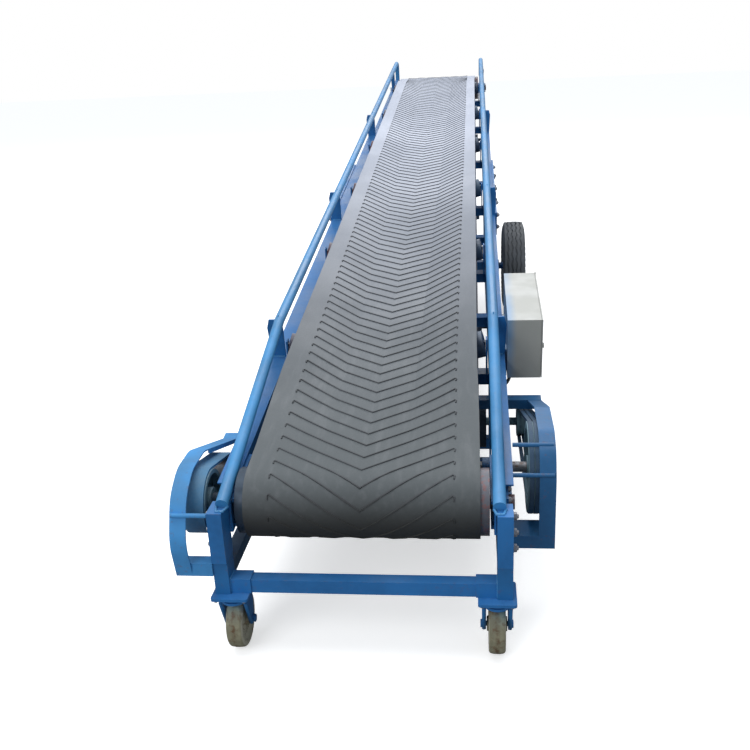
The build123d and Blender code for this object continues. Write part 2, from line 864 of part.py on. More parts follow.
# Motor: finned body, end bells, terminal box and feet
fin_count = 20
with BuildPart() as motor:
    with BuildSketch(upright(motor_x - motor_half_length + 40)) as finned:
        with Locations(motor_centre):
            Circle(motor_radius - 10)
            with PolarLocations(motor_radius - 6, fin_count):
                Rectangle(12, 4)
    extrude(amount=2 * motor_half_length - 70)
    for x, width in ((-motor_half_length, 42), (motor_half_length - 32, 32)):
        with BuildSketch(upright(motor_x + x)) as end_bell:
            with Locations(motor_centre):
                Circle(motor_radius)
        extrude(amount=width)
    with BuildSketch(upright(motor_x - 55)) as feet:
        with Locations((motor_y, motor_z - motor_radius - 2)):
            Rectangle(150, 20)
        with Locations((motor_y - 20, motor_z + motor_radius - 10)):
            Rectangle(70, 30)
    extrude(amount=110)
save(motor.part, "motor")

# Motor mount: a base plate hung from the channels on four straps
mount_top = motor_z - motor_radius - 12
mount_bar = 40
hang_places = (motor_y - 95, motor_y + 95)
with BuildPart() as motor_mount:
    for y in hang_places:
        with BuildSketch(upright(-channel_inner_x)) as mount_beam:
            with Locations((y, mount_top - mount_bar / 2)):
                Rectangle(mount_bar, mount_bar)
        extrude(amount=2 * channel_inner_x + channel_flange)
    with BuildSketch(level(drum_height + mount_top - 8)) as mount_plate:
        with Locations((motor_x, motor_y)):
            Rectangle(200, 2 * 95 - mount_bar)
    extrude(amount=8)
    for y in hang_places:
        strap_top = y * tan(slope) + channel_bottom / cos(slope)
        for sign in (-1, 1):
            with BuildSketch(upright(sign * (channel_inner_x + 3) - 3)) as strap:
                with BuildLine():
                    Polyline(
                        (y - 20, mount_top - mount_bar),
                        (y + 20, mount_top - mount_bar),
                        (y + 20, strap_top + 20 * tan(slope)),
                        (y - 20, strap_top - 20 * tan(slope)),
                        close=True,
                    )
                make_face()
            extrude(amount=6)
save(motor_mount.part, "motor_mount")

# Countershaft bearings inside the channel webs
counter_bearing_radius = 34
counter_bearing_length = 28
with BuildPart() as counter_bearings:
    with BuildSketch(upright(channel_inner_x - counter_bearing_length)) as housing:
        with Locations(counter_centre):
            Circle(counter_bearing_radius - 8)
            Circle(countershaft_radius + 0.1, mode=Mode.SUBTRACT)
    extrude(amount=counter_bearing_length)
    with BuildSketch(upright(channel_inner_x - 8)) as bearing_flange:
        with Locations(counter_centre):
            Circle(counter_bearing_radius)
            Circle(countershaft_radius + 0.1, mode=Mode.SUBTRACT)
    extrude(amount=8)
    mirror(about=Plane.YZ)
save(counter_bearings.part, "counter_bearings")

# Left drive guard: a bent strip from the foot bar up over the pulleys, on a rod and two bars
guard_bend = 110
post_outer = post_x + post_width / 2
left_bar_place = (
    -post_setback - leg_depth / 2 + guard_bar / 2 - 5,
    post_bottom - drum_height - guard_bar / 2,
)
guard_end = 400
guard_end_width = 40
lip_start = (110, 98)
lip_end = level_point(guard_end - guard_end_width / 4, channel_bottom - guard_wall)
left_foot = (-145, left_bar_place[1] - guard_bar / 2)
guard_left_line = [left_foot, (-167, -42), (-120, 68), (-40, 112), (70, 112), lip_end]
left_inner = guard_left_x - guard_width
with BuildPart() as guard_left:
    with BuildSketch(upright(-guard_left_x)) as left_band:
        with BuildLine():
            FilletPolyline(*guard_left_line, radius=guard_bend)
        trace(line_width=guard_wall)
    extrude(amount=guard_width)
    with BuildSketch(upright(-left_inner - guard_wall)) as left_lip:
        with BuildLine():
            Polyline(
                lip_start,
                lip_end,
                (lip_end[0], lip_end[1] - guard_lip),
                (lip_start[0], lip_start[1] - guard_lip),
                close=True,
            )
        make_face()
    extrude(amount=guard_wall)
    with BuildSketch(upright(-guard_left_x)) as left_foot_bar:
        with Locations(left_bar_place):
            Rectangle(guard_bar, guard_bar)
    extrude(amount=guard_left_x - post_outer)
    with BuildSketch(upright(-guard_left_x + 5)) as left_rod:
        with Locations((-144, 30)):
            Circle(guard_rod_radius)
    extrude(amount=guard_left_x - 5 - post_outer)
    with BuildSketch(side(-guard_left_x)) as left_end_bar:
        with Locations((guard_end, channel_bottom - guard_wall)):
            Rectangle(guard_end_width, 2 * guard_wall)
    extrude(amount=guard_left_x - channel_inner_x)
save(guard_left.part, "guard_left")

# Right drive guard: the same kind of strip over the large pulley, on the runner and a cross bar
runner_outer = post_x + runner_width / 2
right_bar_place = (90, runner_bottom + 34 - drum_height)
right_end = 640
right_end_bar_size = 34
right_bend = 70
right_foot_clearance = 8
right_tip = level_point(right_end, channel_bottom - right_end_bar_size / 3)
right_foot = (48, right_bar_place[1] - guard_bar / 2 + right_foot_clearance)
guard_right_line = [right_foot, (45, 45), (75, 112), (140, 142), (310, 140), right_tip]
right_inner = guard_right_x - guard_width
with BuildPart() as guard_right:
    with BuildSketch(upright(right_inner)) as right_band:
        with BuildLine():
            FilletPolyline(*guard_right_line, radius=right_bend)
        trace(line_width=guard_wall)
    extrude(amount=guard_width)
    with BuildSketch(upright(runner_outer)) as right_foot_bar:
        with Locations(right_bar_place):
            Rectangle(90, guard_bar)
    extrude(amount=guard_right_x - runner_outer)
    for rod_place in ((46, 55), (95, 121)):
        with BuildSketch(upright(channel_inner_x + channel_flange)) as right_rod:
            with Locations(rod_place):
                Circle(guard_rod_radius)
        extrude(amount=guard_right_x - 5 - channel_inner_x - channel_flange)
    with BuildSketch(side(-channel_inner_x - channel_flange)) as right_end_bar:
        with Locations((right_end, channel_bottom - right_end_bar_size / 2)):
            Rectangle(right_end_bar_size, right_end_bar_size)
    extrude(amount=channel_inner_x + channel_flange + guard_right_x)
save(guard_right.part, "guard_right")

# Control box on the right channel: an open case, and a door hinged at its head-side edge
box_x = channel_inner_x + channel_flange + box_standoff
box_face = box_x + box_depth
box_centre = (box_start + box_length / 2, box_bottom + box_height / 2)
door_gap = 1
door_inner = box_face + door_gap
hinge_x = door_inner + hinge_radius - 2


def hinge_plane(n):
    """Plane square to the door's hinge axis, at the height n above the conveyor's axis."""
    origin = conveyor.from_local_coords((hinge_x, box_start + box_length + hinge_radius - 1, n))
    return Plane(origin=origin, x_dir=(1, 0, 0), z_dir=conveyor.z_dir)


with BuildPart() as control_box:
    with BuildSketch(side(box_x)) as case:
        with Locations(box_centre):
            Rectangle(box_length, box_height)
    extrude(amount=box_depth)
    with BuildSketch(side(box_x + box_wall)) as case_hollow:
        with Locations(box_centre):
            Rectangle(box_length - 2 * box_wall, box_height - 2 * box_wall)
    extrude(amount=box_depth, mode=Mode.SUBTRACT)
    with BuildSketch(side(box_x - box_standoff)) as box_straps:
        with Locations((box_centre[0], channel_top - channel_depth / 2)):
            with GridLocations(box_length - 160, 0, 2, 1):
                Rectangle(40, channel_depth)
    extrude(amount=box_standoff)
    for n in (box_bottom, box_bottom + 3 * box_height / 4 + running_gap):
        with BuildSketch(hinge_plane(n)) as knuckle:
            Circle(hinge_radius)
            with Locations((-9, -2)):
                Rectangle(14, 2)
        extrude(amount=box_height / 4 - running_gap)
save(control_box.part, "control_box")

with BuildPart() as box_door:
    with BuildSketch(side(door_inner)) as door:
        with Locations((box_centre[0] - 1, box_centre[1])):
            Rectangle(box_length - 2, box_height)
        with Locations((box_start + box_length, box_centre[1])):
            Rectangle(6, box_height / 2)
    extrude(amount=box_door_thickness)
    with BuildSketch(side(door_inner + box_door_thickness)) as door_lock:
        with Locations((box_start + 30, box_centre[1])):
            Circle(9)
    extrude(amount=6)
    with BuildSketch(hinge_plane(box_bottom + box_height / 4)) as door_knuckle:
        Circle(hinge_radius)
    extrude(amount=box_height / 2)
save(box_door.part, "box_door")

# Motor cable from the box's floor to the motor's terminal box
cable_gap = 0.3
cable_bend = 45
terminal_end = motor_x + 55 + cable_gap
gland_y = 900
gland_z = gland_y * tan(slope) + box_bottom / cos(slope) - cable_radius * tan(slope) - cable_gap
cable_points = [
    (424, gland_y, gland_z),
    (424, gland_y, 5),
    (350, motor_y - 20, -25),
    (terminal_end, motor_y - 20, -25),
]
with BuildPart() as motor_cable:
    with BuildLine() as cable_line:
        FilletPolyline(*[(x, tail_y + y, drum_height + z) for x, y, z in cable_points], radius=cable_bend)
    with BuildSketch(Plane(origin=cable_line.line @ 0, z_dir=cable_line.line % 0)) as cable_section:
        Circle(cable_radius)
    sweep()
save(motor_cable.part, "motor_cable")

# Axle: a square beam with stub axles, and a trestle on each side up to the channel
axle_end = tyre_x - tyre_width / 2 - 18
axle_height = tyre_radius - drum_height
with BuildPart() as axle_beam:
    with BuildSketch(upright(-axle_end)) as beam:
        with Locations((wheel_y, axle_height)):
            Rectangle(axle_tube, axle_tube)
    extrude(amount=2 * axle_end)
    with BuildSketch(upright(-tyre_x - rim_width / 2 - 12)) as stubs:
        with Locations((wheel_y, axle_height)):
            Circle(stub_axle_radius)
    extrude(amount=2 * tyre_x + rim_width + 24)
save(axle_beam.part, "axle_beam")

beam_top = axle_height + axle_tube / 2
foot = 3 * trestle_tube
with BuildPart() as trestles:
    for reach in (trestle_front, wheel_y, trestle_back):
        lean = (reach - wheel_y) / abs(reach - wheel_y) * trestle_tube if reach != wheel_y else 0
        top = reach * tan(slope)
        with BuildSketch(upright(post_x - trestle_tube / 2)) as strut:
            with BuildLine():
                Line((wheel_y + lean, beam_top), (reach, top))
            trace(line_width=trestle_tube)
        extrude(amount=trestle_tube)
    with BuildSketch(upright(post_x - trestle_tube / 2)) as trestle_foot:
        with Locations((wheel_y, beam_top + 5)):
            Rectangle(axle_tube + foot, 10)
    extrude(amount=trestle_tube)
    with BuildSketch(side(0)) as above_channel_bottom:
        with Locations((drum_spacing / 2, channel_bottom + drum_spacing / 2)):
            Rectangle(2 * drum_spacing, drum_spacing)
    extrude(amount=guard_right_x, mode=Mode.SUBTRACT)
    with BuildSketch(upright(0)) as below_beam_top:
        with Locations((wheel_y, beam_top - trestle_tube)):
            Rectangle(drum_spacing, 2 * trestle_tube)
    extrude(amount=guard_right_x, mode=Mode.SUBTRACT)
    mirror(about=Plane.YZ)
save(trestles.part, "trestles")

# Road wheels: a tyre with grooved tread on a dished rim with a hub
bead_gap = 0.3
rim_lip = 8
bead_half = rim_width / 2 - rim_lip - bead_gap - 6
wheel_axis = Axis((0, tail_y + wheel_y, tyre_radius), (1, 0, 0))
wall_widest = (rim_radius + tyre_radius) / 2 + 12
tread_half = tyre_width / 2 - 12


def wheel_plane(x):
    """Plane through the wheel axis: its X is outwards along the axle, its Y is up."""
    return Plane(origin=(x, tail_y + wheel_y, tyre_radius), x_dir=(1, 0, 0), z_dir=(0, -1, 0))


with BuildPart() as tyre_right:
    with BuildSketch(wheel_plane(tyre_x)) as tyre_section:
        half = tyre_width / 2
        right_wall = [
            (bead_half, rim_radius + bead_gap),
            (half, wall_widest),
            (tread_half, tyre_radius),
        ]
        with BuildLine():
            Polyline(*right_wall, *[(-x, r) for x, r in reversed(right_wall)], close=True)
        make_face()
    revolve(axis=wheel_axis)
save(tyre_right.part, "tyre_right")
save(mirrored(tyre_right.part), "tyre_left")

rim_wall = 5
disc_x = 8
disc_thickness = 8
hand_hole_radius = 11
hub_bore = stub_axle_radius + running_gap
with BuildPart() as rim_right:
    with BuildSketch(wheel_plane(tyre_x)) as rim_section:
        half = rim_width / 2
        with BuildLine():
            Polyline(
                (-half, rim_radius - rim_wall),
                (-half, rim_radius + rim_flange),
                (-half + rim_lip, rim_radius),
                (half - rim_lip, rim_radius),
                (half, rim_radius + rim_flange),
                (half, rim_radius - rim_wall),
                (disc_x + disc_thickness, rim_radius - rim_wall),
                (disc_x + disc_thickness, hub_radius),
                (half + 4, hub_radius - 8),
                (half + 4, hub_bore),
                (-half - 6, hub_bore),
                (-half - 6, hub_radius - 8),
                (disc_x, hub_radius),
                (disc_x, rim_radius - rim_wall),
                close=True,
            )
        make_face()
    revolve(axis=wheel_axis)
    with BuildSketch(upright(tyre_x)) as hand_holes:
        with Locations((wheel_y, axle_height)):
            with PolarLocations((rim_radius + hub_radius) / 2, 6):
                Circle(hand_hole_radius)
    extrude(amount=rim_width / 2, mode=Mode.SUBTRACT)
save(rim_right.part, "rim_right")
save(mirrored(rim_right.part), "rim_left")
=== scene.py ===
"""Studio scene of a portable belt conveyor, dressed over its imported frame.

Lengths are metres. X runs across the belt, +Y from the tail to the raised head, +Z up.
"""

import math

import bmesh
import bpy
from bpy.props import FloatProperty, FloatVectorProperty, IntProperty, PointerProperty
from mathutils import Matrix, Vector


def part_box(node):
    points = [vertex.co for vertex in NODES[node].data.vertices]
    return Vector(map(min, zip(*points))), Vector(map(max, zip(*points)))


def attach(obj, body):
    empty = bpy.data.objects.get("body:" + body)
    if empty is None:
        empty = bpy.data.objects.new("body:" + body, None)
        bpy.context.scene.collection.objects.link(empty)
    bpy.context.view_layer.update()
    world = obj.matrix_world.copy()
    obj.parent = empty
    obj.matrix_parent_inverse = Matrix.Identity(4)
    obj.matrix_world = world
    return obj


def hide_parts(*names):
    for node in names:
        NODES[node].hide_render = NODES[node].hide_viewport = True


bl_info = {
    "name": "Portable Belt Conveyor",
    "version": (1, 0, 0),
    "blender": (4, 5, 0),
    "location": "View3D > Sidebar > Conveyor",
    "description": "Builds the finish and the small parts of a portable belt conveyor",
    "category": "Object",
}

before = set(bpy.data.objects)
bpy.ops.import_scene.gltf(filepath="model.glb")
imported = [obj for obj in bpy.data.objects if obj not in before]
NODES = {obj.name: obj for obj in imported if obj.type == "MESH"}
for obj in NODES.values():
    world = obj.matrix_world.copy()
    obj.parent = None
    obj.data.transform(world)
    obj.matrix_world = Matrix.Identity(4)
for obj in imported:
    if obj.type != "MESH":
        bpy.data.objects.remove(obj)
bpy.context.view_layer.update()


def middle(node):
    """Centre of a CAD node's box."""
    low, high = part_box(node)
    return (low + high) / 2


# The conveyor's own axes, from the two drums
TAIL = middle("tail_drum")
HEAD = middle("head_drum")
TAIL_AXIS = Vector((0.0, TAIL.y, TAIL.z))
RUN = Vector((0.0, HEAD.y - TAIL.y, HEAD.z - TAIL.z))
DRUM_SPACING = RUN.length
ALONG = RUN.normalized()
ACROSS = Vector((1.0, 0.0, 0.0))
UPWARD = ACROSS.cross(ALONG)
BELT_CLEARANCE = 0.0005
DRUM_RADIUS = (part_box("head_drum")[1].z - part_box("head_drum")[0].z) / 2 + BELT_CLEARANCE
BELT_THICKNESS = 0.008
BELT_OUTER = DRUM_RADIUS + BELT_THICKNESS
BELT_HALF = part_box("belt")[1].x
CASTER_X = middle("caster_wheel_right").x
# The trough: half of its flat middle, angle of its wings and length of its two transitions
CENTRE_HALF = 0.115
TROUGH = math.radians(14.0)
TAIL_TRANSITION = 0.640
HEAD_TRANSITION = 0.430

# Camera of the photograph: place relative to the tail drum's axis, turn, tilt, roll and lens
CAMERA_X = 0.3018
CAMERA_BACK = 2.118
CAMERA_HEIGHT = 1.5547
CAMERA_TURN = 0.1201
CAMERA_TILT = 0.3554
CAMERA_ROLL = -0.0493
CAMERA_LENS = 42.99


def place(x, s, n):
    """Point at x across, s along the conveyor from the tail drum and n up from its axis."""
    return TAIL_AXIS + ACROSS * x + ALONG * s + UPWARD * n


# Sizes and colours that a user may change


class ConveyorSizes(bpy.types.PropertyGroup):
    """Sizes of the small parts."""

    rib_pitch: FloatProperty(
        name="Rib pitch", description="Distance between chevrons along the belt",
        default=0.060, min=0.02, max=0.3, subtype="DISTANCE", unit="LENGTH",
    )
    rib_width: FloatProperty(
        name="Rib width", description="Width of one rib at its foot",
        default=0.0055, min=0.002, max=0.03, subtype="DISTANCE", unit="LENGTH",
    )
    rib_height: FloatProperty(
        name="Rib height", description="Height of a rib over the belt",
        default=0.0030, min=0.0005, max=0.02, subtype="DISTANCE", unit="LENGTH",
    )
    rib_reach: FloatProperty(
        name="Rib reach", description="Distance from the belt's middle to a rib's outer end",
        default=0.240, min=0.05, max=0.3, subtype="DISTANCE", unit="LENGTH",
    )
    rib_angle: FloatProperty(
        name="Rib angle", description="Angle of a rib from square across the belt",
        default=math.radians(34.0), min=0.0, max=1.2, subtype="ANGLE", unit="ROTATION",
    )
    bolt_size: FloatProperty(
        name="Bolt size", description="Thread size of the frame bolts",
        default=0.012, min=0.004, max=0.03, subtype="DISTANCE", unit="LENGTH",
    )
    bead_width: FloatProperty(
        name="Weld width", description="Width of the weld beads",
        default=0.007, min=0.002, max=0.02, subtype="DISTANCE", unit="LENGTH",
    )
    tread_depth: FloatProperty(
        name="Tread depth", description="Depth of the grooves in the road tyres",
        default=0.008, min=0.001, max=0.02, subtype="DISTANCE", unit="LENGTH",
    )
    tread_waves: IntProperty(
        name="Tread waves", description="Zigzags of a tread groove round one tyre",
        default=26, min=8, max=60,
    )


class ConveyorColours(bpy.types.PropertyGroup):
    """Colours of the finishes."""

    frame_paint: FloatVectorProperty(
        name="Frame paint", description="Blue enamel of the frame",
        default=(0.020, 0.160, 0.440), min=0.0, max=1.0, subtype="COLOR",
    )
    rail_paint: FloatVectorProperty(
        name="Rail paint", description="Lighter blue enamel of the rails and guards",
        default=(0.048, 0.240, 0.510), min=0.0, max=1.0, subtype="COLOR",
    )
    belt_rubber: FloatVectorProperty(
        name="Belt rubber", description="Dusty grey of the conveyor belt",
        default=(0.078, 0.092, 0.100), min=0.0, max=1.0, subtype="COLOR",
    )
    drive_rubber: FloatVectorProperty(
        name="Drive rubber", description="Flat and V belts",
        default=(0.040, 0.155, 0.290), min=0.0, max=1.0, subtype="COLOR",
    )
    box_paint: FloatVectorProperty(
        name="Box paint", description="Warm grey powder coat of the control box",
        default=(0.360, 0.365, 0.338), min=0.0, max=1.0, subtype="COLOR",
    )
    caster_nylon: FloatVectorProperty(
        name="Caster nylon", description="Cream nylon of the caster wheels",
        default=(0.330, 0.315, 0.210), min=0.0, max=1.0, subtype="COLOR",
    )
    tyre_rubber: FloatVectorProperty(
        name="Tyre rubber", description="Road tyres",
        default=(0.100, 0.112, 0.126), min=0.0, max=1.0, subtype="COLOR",
    )
    rust: FloatVectorProperty(
        name="Rust", description="Rust where paint has gone",
        default=(0.130, 0.045, 0.018), min=0.0, max=1.0, subtype="COLOR",
    )


def sizes():
    """The scene's sizes."""
    return bpy.context.scene.conveyor_sizes


def colours():
    """The scene's colours."""
    return bpy.context.scene.conveyor_colours


# Mesh helpers

SHARP_ANGLE = math.radians(38)
BEAD_SIDES = 8
BEAD_RIPPLE = 0.22


def finish_mesh(name, bm, material, body, smooth=True):
    """Turns a bmesh into an object that rides on a body, with its material."""
    bmesh.ops.remove_doubles(bm, verts=bm.verts, dist=1e-6)
    bmesh.ops.recalc_face_normals(bm, faces=bm.faces)
    mesh = bpy.data.meshes.new(name)
    bm.to_mesh(mesh)
    bm.free()
    obj = bpy.data.objects.new(name, mesh)
    bpy.context.scene.collection.objects.link(obj)
    mesh.materials.append(material)
    if smooth:
        mesh.polygons.foreach_set("use_smooth", [True] * len(mesh.polygons))
        mesh.set_sharp_from_angle(angle=SHARP_ANGLE)
    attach(obj, body)
    return obj


def basis(axis):
    """Two unit vectors square to the axis and to each other."""
    axis = axis.normalized()
    other = Vector((0, 0, 1)) if abs(axis.z) < 0.9 else Vector((0, 1, 0))
    first = other.cross(axis).normalized()
    return first, axis.cross(first)


def spoke(first, second, angle):
    """Unit vector at an angle from the first towards the second."""
    return first * math.cos(angle) + second * math.sin(angle)


def skin_rings(bm, rings):
    """Skins a row of rings and closes both of its ends."""
    for lower, upper in zip(rings, rings[1:]):
        for i in range(len(lower)):
            j = (i + 1) % len(lower)
            bm.faces.new((lower[i], lower[j], upper[j], upper[i]))
    bm.faces.new(rings[0])
    bm.faces.new(list(reversed(rings[-1])))


def skin_round(bm, sections):
    """Skins closed sections that stand round an axis, the last one joined to the first."""
    for near, far in zip(sections, sections[1:] + sections[:1]):
        for k in range(len(near)):
            m = (k + 1) % len(near)
            bm.faces.new((near[k], near[m], far[m], far[k]))


def add_lathe(bm, centre, axis, profile, sides):
    """Adds a turned solid: the profile lists (along the axis, radius) from end to end."""
    axis = axis.normalized()
    first, second = basis(axis)
    rings = []
    for along, radius in profile:
        on_axis = centre + axis * along
        rings.append([
            bm.verts.new(on_axis + spoke(first, second, 2 * math.pi * i / sides) * radius)
            for i in range(sides)
        ])
    skin_rings(bm, rings)


def add_ring_solid(bm, centre, axis, profile, sides):
    """Adds a turned ring: the profile (along the axis, radius) is a closed outline clear of the axis."""
    axis = axis.normalized()
    first, second = basis(axis)
    sections = []
    for i in range(sides):
        out = spoke(first, second, 2 * math.pi * i / sides)
        sections.append([bm.verts.new(centre + axis * along + out * radius) for along, radius in profile])
    skin_round(bm, sections)


def add_bolt(bm, point, axis, size, washer=True):
    """Adds a washer, a chamfered hexagon head and the thread's rounded end, all in shares of its size."""
    lift = 0.0
    if washer:
        lift = size * 0.18
        edge = size * 1.05
        add_lathe(bm, point, axis, [(-0.0005, edge), (lift * 0.8, edge), (lift, size * 0.98)], 20)
    for sides, profile in (
        (6, ((0.0, 0.90), (0.52, 0.90), (0.64, 0.76))),
        (12, ((0.6, 0.48), (0.9, 0.48), (1.0, 0.36))),
    ):
        add_lathe(bm, point, axis, [(lift + size * along, size * radius) for along, radius in profile], sides)


def add_bead(bm, path, width):
    """Adds a weld bead: a rounded, rippled strip along the path's points."""
    length = sum((b - a).length for a, b in zip(path, path[1:]))
    steps = max(4, int(length / (width * 0.35)))
    points = []
    for k in range(steps + 1):
        target = length * k / steps
        walked = 0.0
        for a, b in zip(path, path[1:]):
            part = (b - a).length
            if walked + part >= target - 1e-9:
                points.append(a.lerp(b, min(1.0, max(0.0, (target - walked) / part))))
                break
            walked += part
    rings = []
    for k, point in enumerate(points):
        ahead = points[min(k + 1, len(points) - 1)] - points[max(k - 1, 0)]
        first, second = basis(ahead)
        swell = width / 2 * (1 + BEAD_RIPPLE * (0.5 - (k % 2)) + 0.10 * math.sin(k * 1.7))
        if k in (0, len(points) - 1):
            swell *= 0.5
        rings.append([
            bm.verts.new(point + spoke(first, second, 2 * math.pi * i / BEAD_SIDES) * swell)
            for i in range(BEAD_SIDES)
        ])
    skin_rings(bm, rings)


# Shader helpers


class Nodes:
    """A node tree with short calls for its nodes and links."""

    def __init__(self, tree):
        self.tree = tree

    def node(self, kind):
        """New node of a kind."""
        return self.tree.nodes.new(kind)

    def link(self, source, target):
        """Joins two sockets."""
        self.tree.links.new(source, target)

    def mix(self, factor, first, second):
        """Mixes two colours, each a socket or plain values, and gives the result's socket."""
        node = self.node("ShaderNodeMix")
        node.data_type = "RGBA"
        for index, value in ((0, factor), (6, first), (7, second)):
            if isinstance(value, bpy.types.NodeSocket):
                self.link(value, node.inputs[index])
            elif index == 0:
                node.inputs[0].default_value = value
            else:
                node.inputs[index].default_value = (*value[:3], 1.0)
        return node.outputs[2]

    def math(self, operation, first, second=0.0, clamp=False):
        """One arithmetic step on sockets or numbers."""
        node = self.node("ShaderNodeMath")
        node.operation = operation
        node.use_clamp = clamp
        for index, value in ((0, first), (1, second)):
            if isinstance(value, bpy.types.NodeSocket):
                self.link(value, node.inputs[index])
            else:
                node.inputs[index].default_value = value
        return node.outputs[0]

    def ranged(self, value, low, high, out_low=0.0, out_high=1.0):
        """Eased step from out_low to out_high while the value goes from low to high."""
        node = self.node("ShaderNodeMapRange")
        node.interpolation_type = "SMOOTHSTEP"
        self.link(value, node.inputs[0])
        for index, number in enumerate((low, high, out_low, out_high), 1):
            node.inputs[index].default_value = number
        return node.outputs[0]

    def coordinate(self):
        """Place in the object's own axes."""
        return self.node("ShaderNodeTexCoord").outputs["Object"]

    def normal(self):
        """Direction that the surface faces."""
        return self.node("ShaderNodeNewGeometry").outputs["Normal"]

    def axes(self, vector):
        """X, Y and Z of a vector."""
        split = self.node("ShaderNodeSeparateXYZ")
        self.link(vector, split.inputs[0])
        return split.outputs

    def noise(self, scale, detail):
        """Noise over the object's own coordinates, its scale taken from a socket."""
        cloud = self.node("ShaderNodeTexNoise")
        cloud.inputs["Detail"].default_value = detail
        self.link(self.coordinate(), cloud.inputs["Vector"])
        self.link(scale, cloud.inputs["Scale"])
        return cloud


class Shader(Nodes):
    """A material under construction."""

    def __init__(self, name):
        self.material = bpy.data.materials.new(name)
        self.material.use_nodes = True
        super().__init__(self.material.node_tree)
        self.surface = self.tree.nodes["Principled BSDF"]

    def feed(self, label, source):
        """Joins a socket to the named input of the surface."""
        self.link(source, self.surface.inputs[label])

    def fix(self, label, value):
        """Sets the named input of the surface to one value."""
        self.surface.inputs[label].default_value = value

    def roughen(self, mottle, low, high):
        """Roughness that follows the coat's broad unevenness."""
        self.feed("Roughness", self.ranged(mottle["Broad"], 0.0, 1.0, low, high))

    def dusted(self, tone, amount, scale, dust_tone):
        """Tone with dust settled on its upward faces."""
        settled = use_group(self, "Settled dust", Amount=amount, Scale=scale)
        return self.mix(settled["Mask"], tone, dust_tone)

    def bump(self, height, strength, distance):
        """Raises the surface by a height from 0 to 1."""
        bump = self.node("ShaderNodeBump")
        bump.inputs["Strength"].default_value = strength
        bump.inputs["Distance"].default_value = distance
        self.link(height, bump.inputs["Height"])
        self.feed("Normal", bump.outputs["Normal"])


def new_group(name, inputs, outputs):
    """Empty node group with named floats: its nodes, the values given to it and its results."""
    tree = bpy.data.node_groups.new(name, "ShaderNodeTree")
    for label, default in inputs:
        socket = tree.interface.new_socket(name=label, in_out="INPUT", socket_type="NodeSocketFloat")
        socket.default_value = default
    for label in outputs:
        tree.interface.new_socket(name=label, in_out="OUTPUT", socket_type="NodeSocketFloat")
    group = Nodes(tree)
    return group, group.node("NodeGroupInput").outputs, group.node("NodeGroupOutput").inputs


def build_edge_wear():
    """Mask of rubbed edges, broken up by grain."""
    group, given, result = new_group(
        "Edge wear", [("Reach", 0.003), ("Amount", 1.0), ("Grain", 90.0)], ["Mask"]
    )
    bevel = group.node("ShaderNodeBevel")
    bevel.samples = 4
    group.link(given["Reach"], bevel.inputs["Radius"])
    dot = group.node("ShaderNodeVectorMath")
    dot.operation = "DOT_PRODUCT"
    group.link(bevel.outputs[0], dot.inputs[0])
    group.link(group.normal(), dot.inputs[1])
    bend = group.math("SUBTRACT", 1.0, dot.outputs["Value"])
    spots = group.ranged(group.noise(given["Grain"], 5.0).outputs["Fac"], 0.48, 0.66)
    worn = group.math("MULTIPLY", group.ranged(bend, 0.02, 0.14), spots)
    group.link(group.math("MULTIPLY", worn, given["Amount"], clamp=True), result["Mask"])
    return group.tree


def build_mottle():
    """Broad and fine unevenness of a coat, both from 0 to 1."""
    group, given, result = new_group("Mottle", [("Scale", 4.0), ("Fine scale", 40.0)], ["Broad", "Fine"])
    for label, output, detail in (("Scale", "Broad", 4.0), ("Fine scale", "Fine", 6.0)):
        cloud = group.noise(given[label], detail)
        cloud.inputs["Roughness"].default_value = 0.62
        group.link(group.ranged(cloud.outputs["Fac"], 0.32, 0.68), result[output])
    return group.tree


def build_dust():
    """Mask of dust settled on upward faces."""
    group, given, result = new_group("Settled dust", [("Amount", 0.3), ("Scale", 14.0)], ["Mask"])
    facing = group.ranged(group.axes(group.normal())["Z"], 0.2, 1.0)
    cloud = group.noise(given["Scale"], 5.0)
    patch = group.ranged(cloud.outputs["Fac"], 0.35, 0.70, 0.25, 1.0)
    both = group.math("MULTIPLY", facing, patch)
    group.link(group.math("MULTIPLY", both, given["Amount"], clamp=True), result["Mask"])
    return group.tree


GROUPS = {}


def use_group(shader, name, **values):
    """Places a shared group in the material with its own values, and gives its outputs."""
    node = shader.node("ShaderNodeGroup")
    node.node_tree = GROUPS[name]
    for label, value in values.items():
        node.inputs[label.replace("_", " ")].default_value = value
    return node.outputs


def paint(
    name, base, wear=0.6, rust=0.25, dust=0.12, roughness=0.36, light=0.05, dusty=(0.30, 0.40, 0.50)
):
    """Brushed-on enamel: uneven tone, rubbed edges, rust spots, dust and an orange-peel skin."""
    shader = Shader(name)
    mottle = use_group(shader, "Mottle", Scale=3.0, Fine_scale=55.0)
    deep = [c * 0.72 for c in base]
    pale = [min(1.0, c * (1.05 + light)) for c in base]
    tone = shader.mix(mottle["Broad"], deep, pale)
    tone = shader.mix(shader.ranged(mottle["Fine"], 0.0, 1.0, 0.0, 0.35), tone, base)
    worn = use_group(shader, "Edge wear", Reach=0.0025, Amount=wear, Grain=70.0)
    tone = shader.mix(worn["Mask"], tone, (0.10, 0.13, 0.17))
    spots = shader.ranged(mottle["Fine"], 0.86, 1.0, 0.0, rust)
    tone = shader.mix(spots, tone, colours().rust[:])
    tone = shader.dusted(tone, dust, 9.0, dusty)
    shader.feed("Base Color", tone)
    rough = shader.ranged(mottle["Broad"], 0.0, 1.0, roughness, roughness + 0.18)
    rubbed = shader.math("MULTIPLY", worn["Mask"], 0.6)
    shader.feed("Roughness", shader.math("MAXIMUM", rough, rubbed))
    shader.fix("Specular IOR Level", 0.35)
    shader.bump(mottle["Fine"], 0.25, 0.0006)
    return shader.material


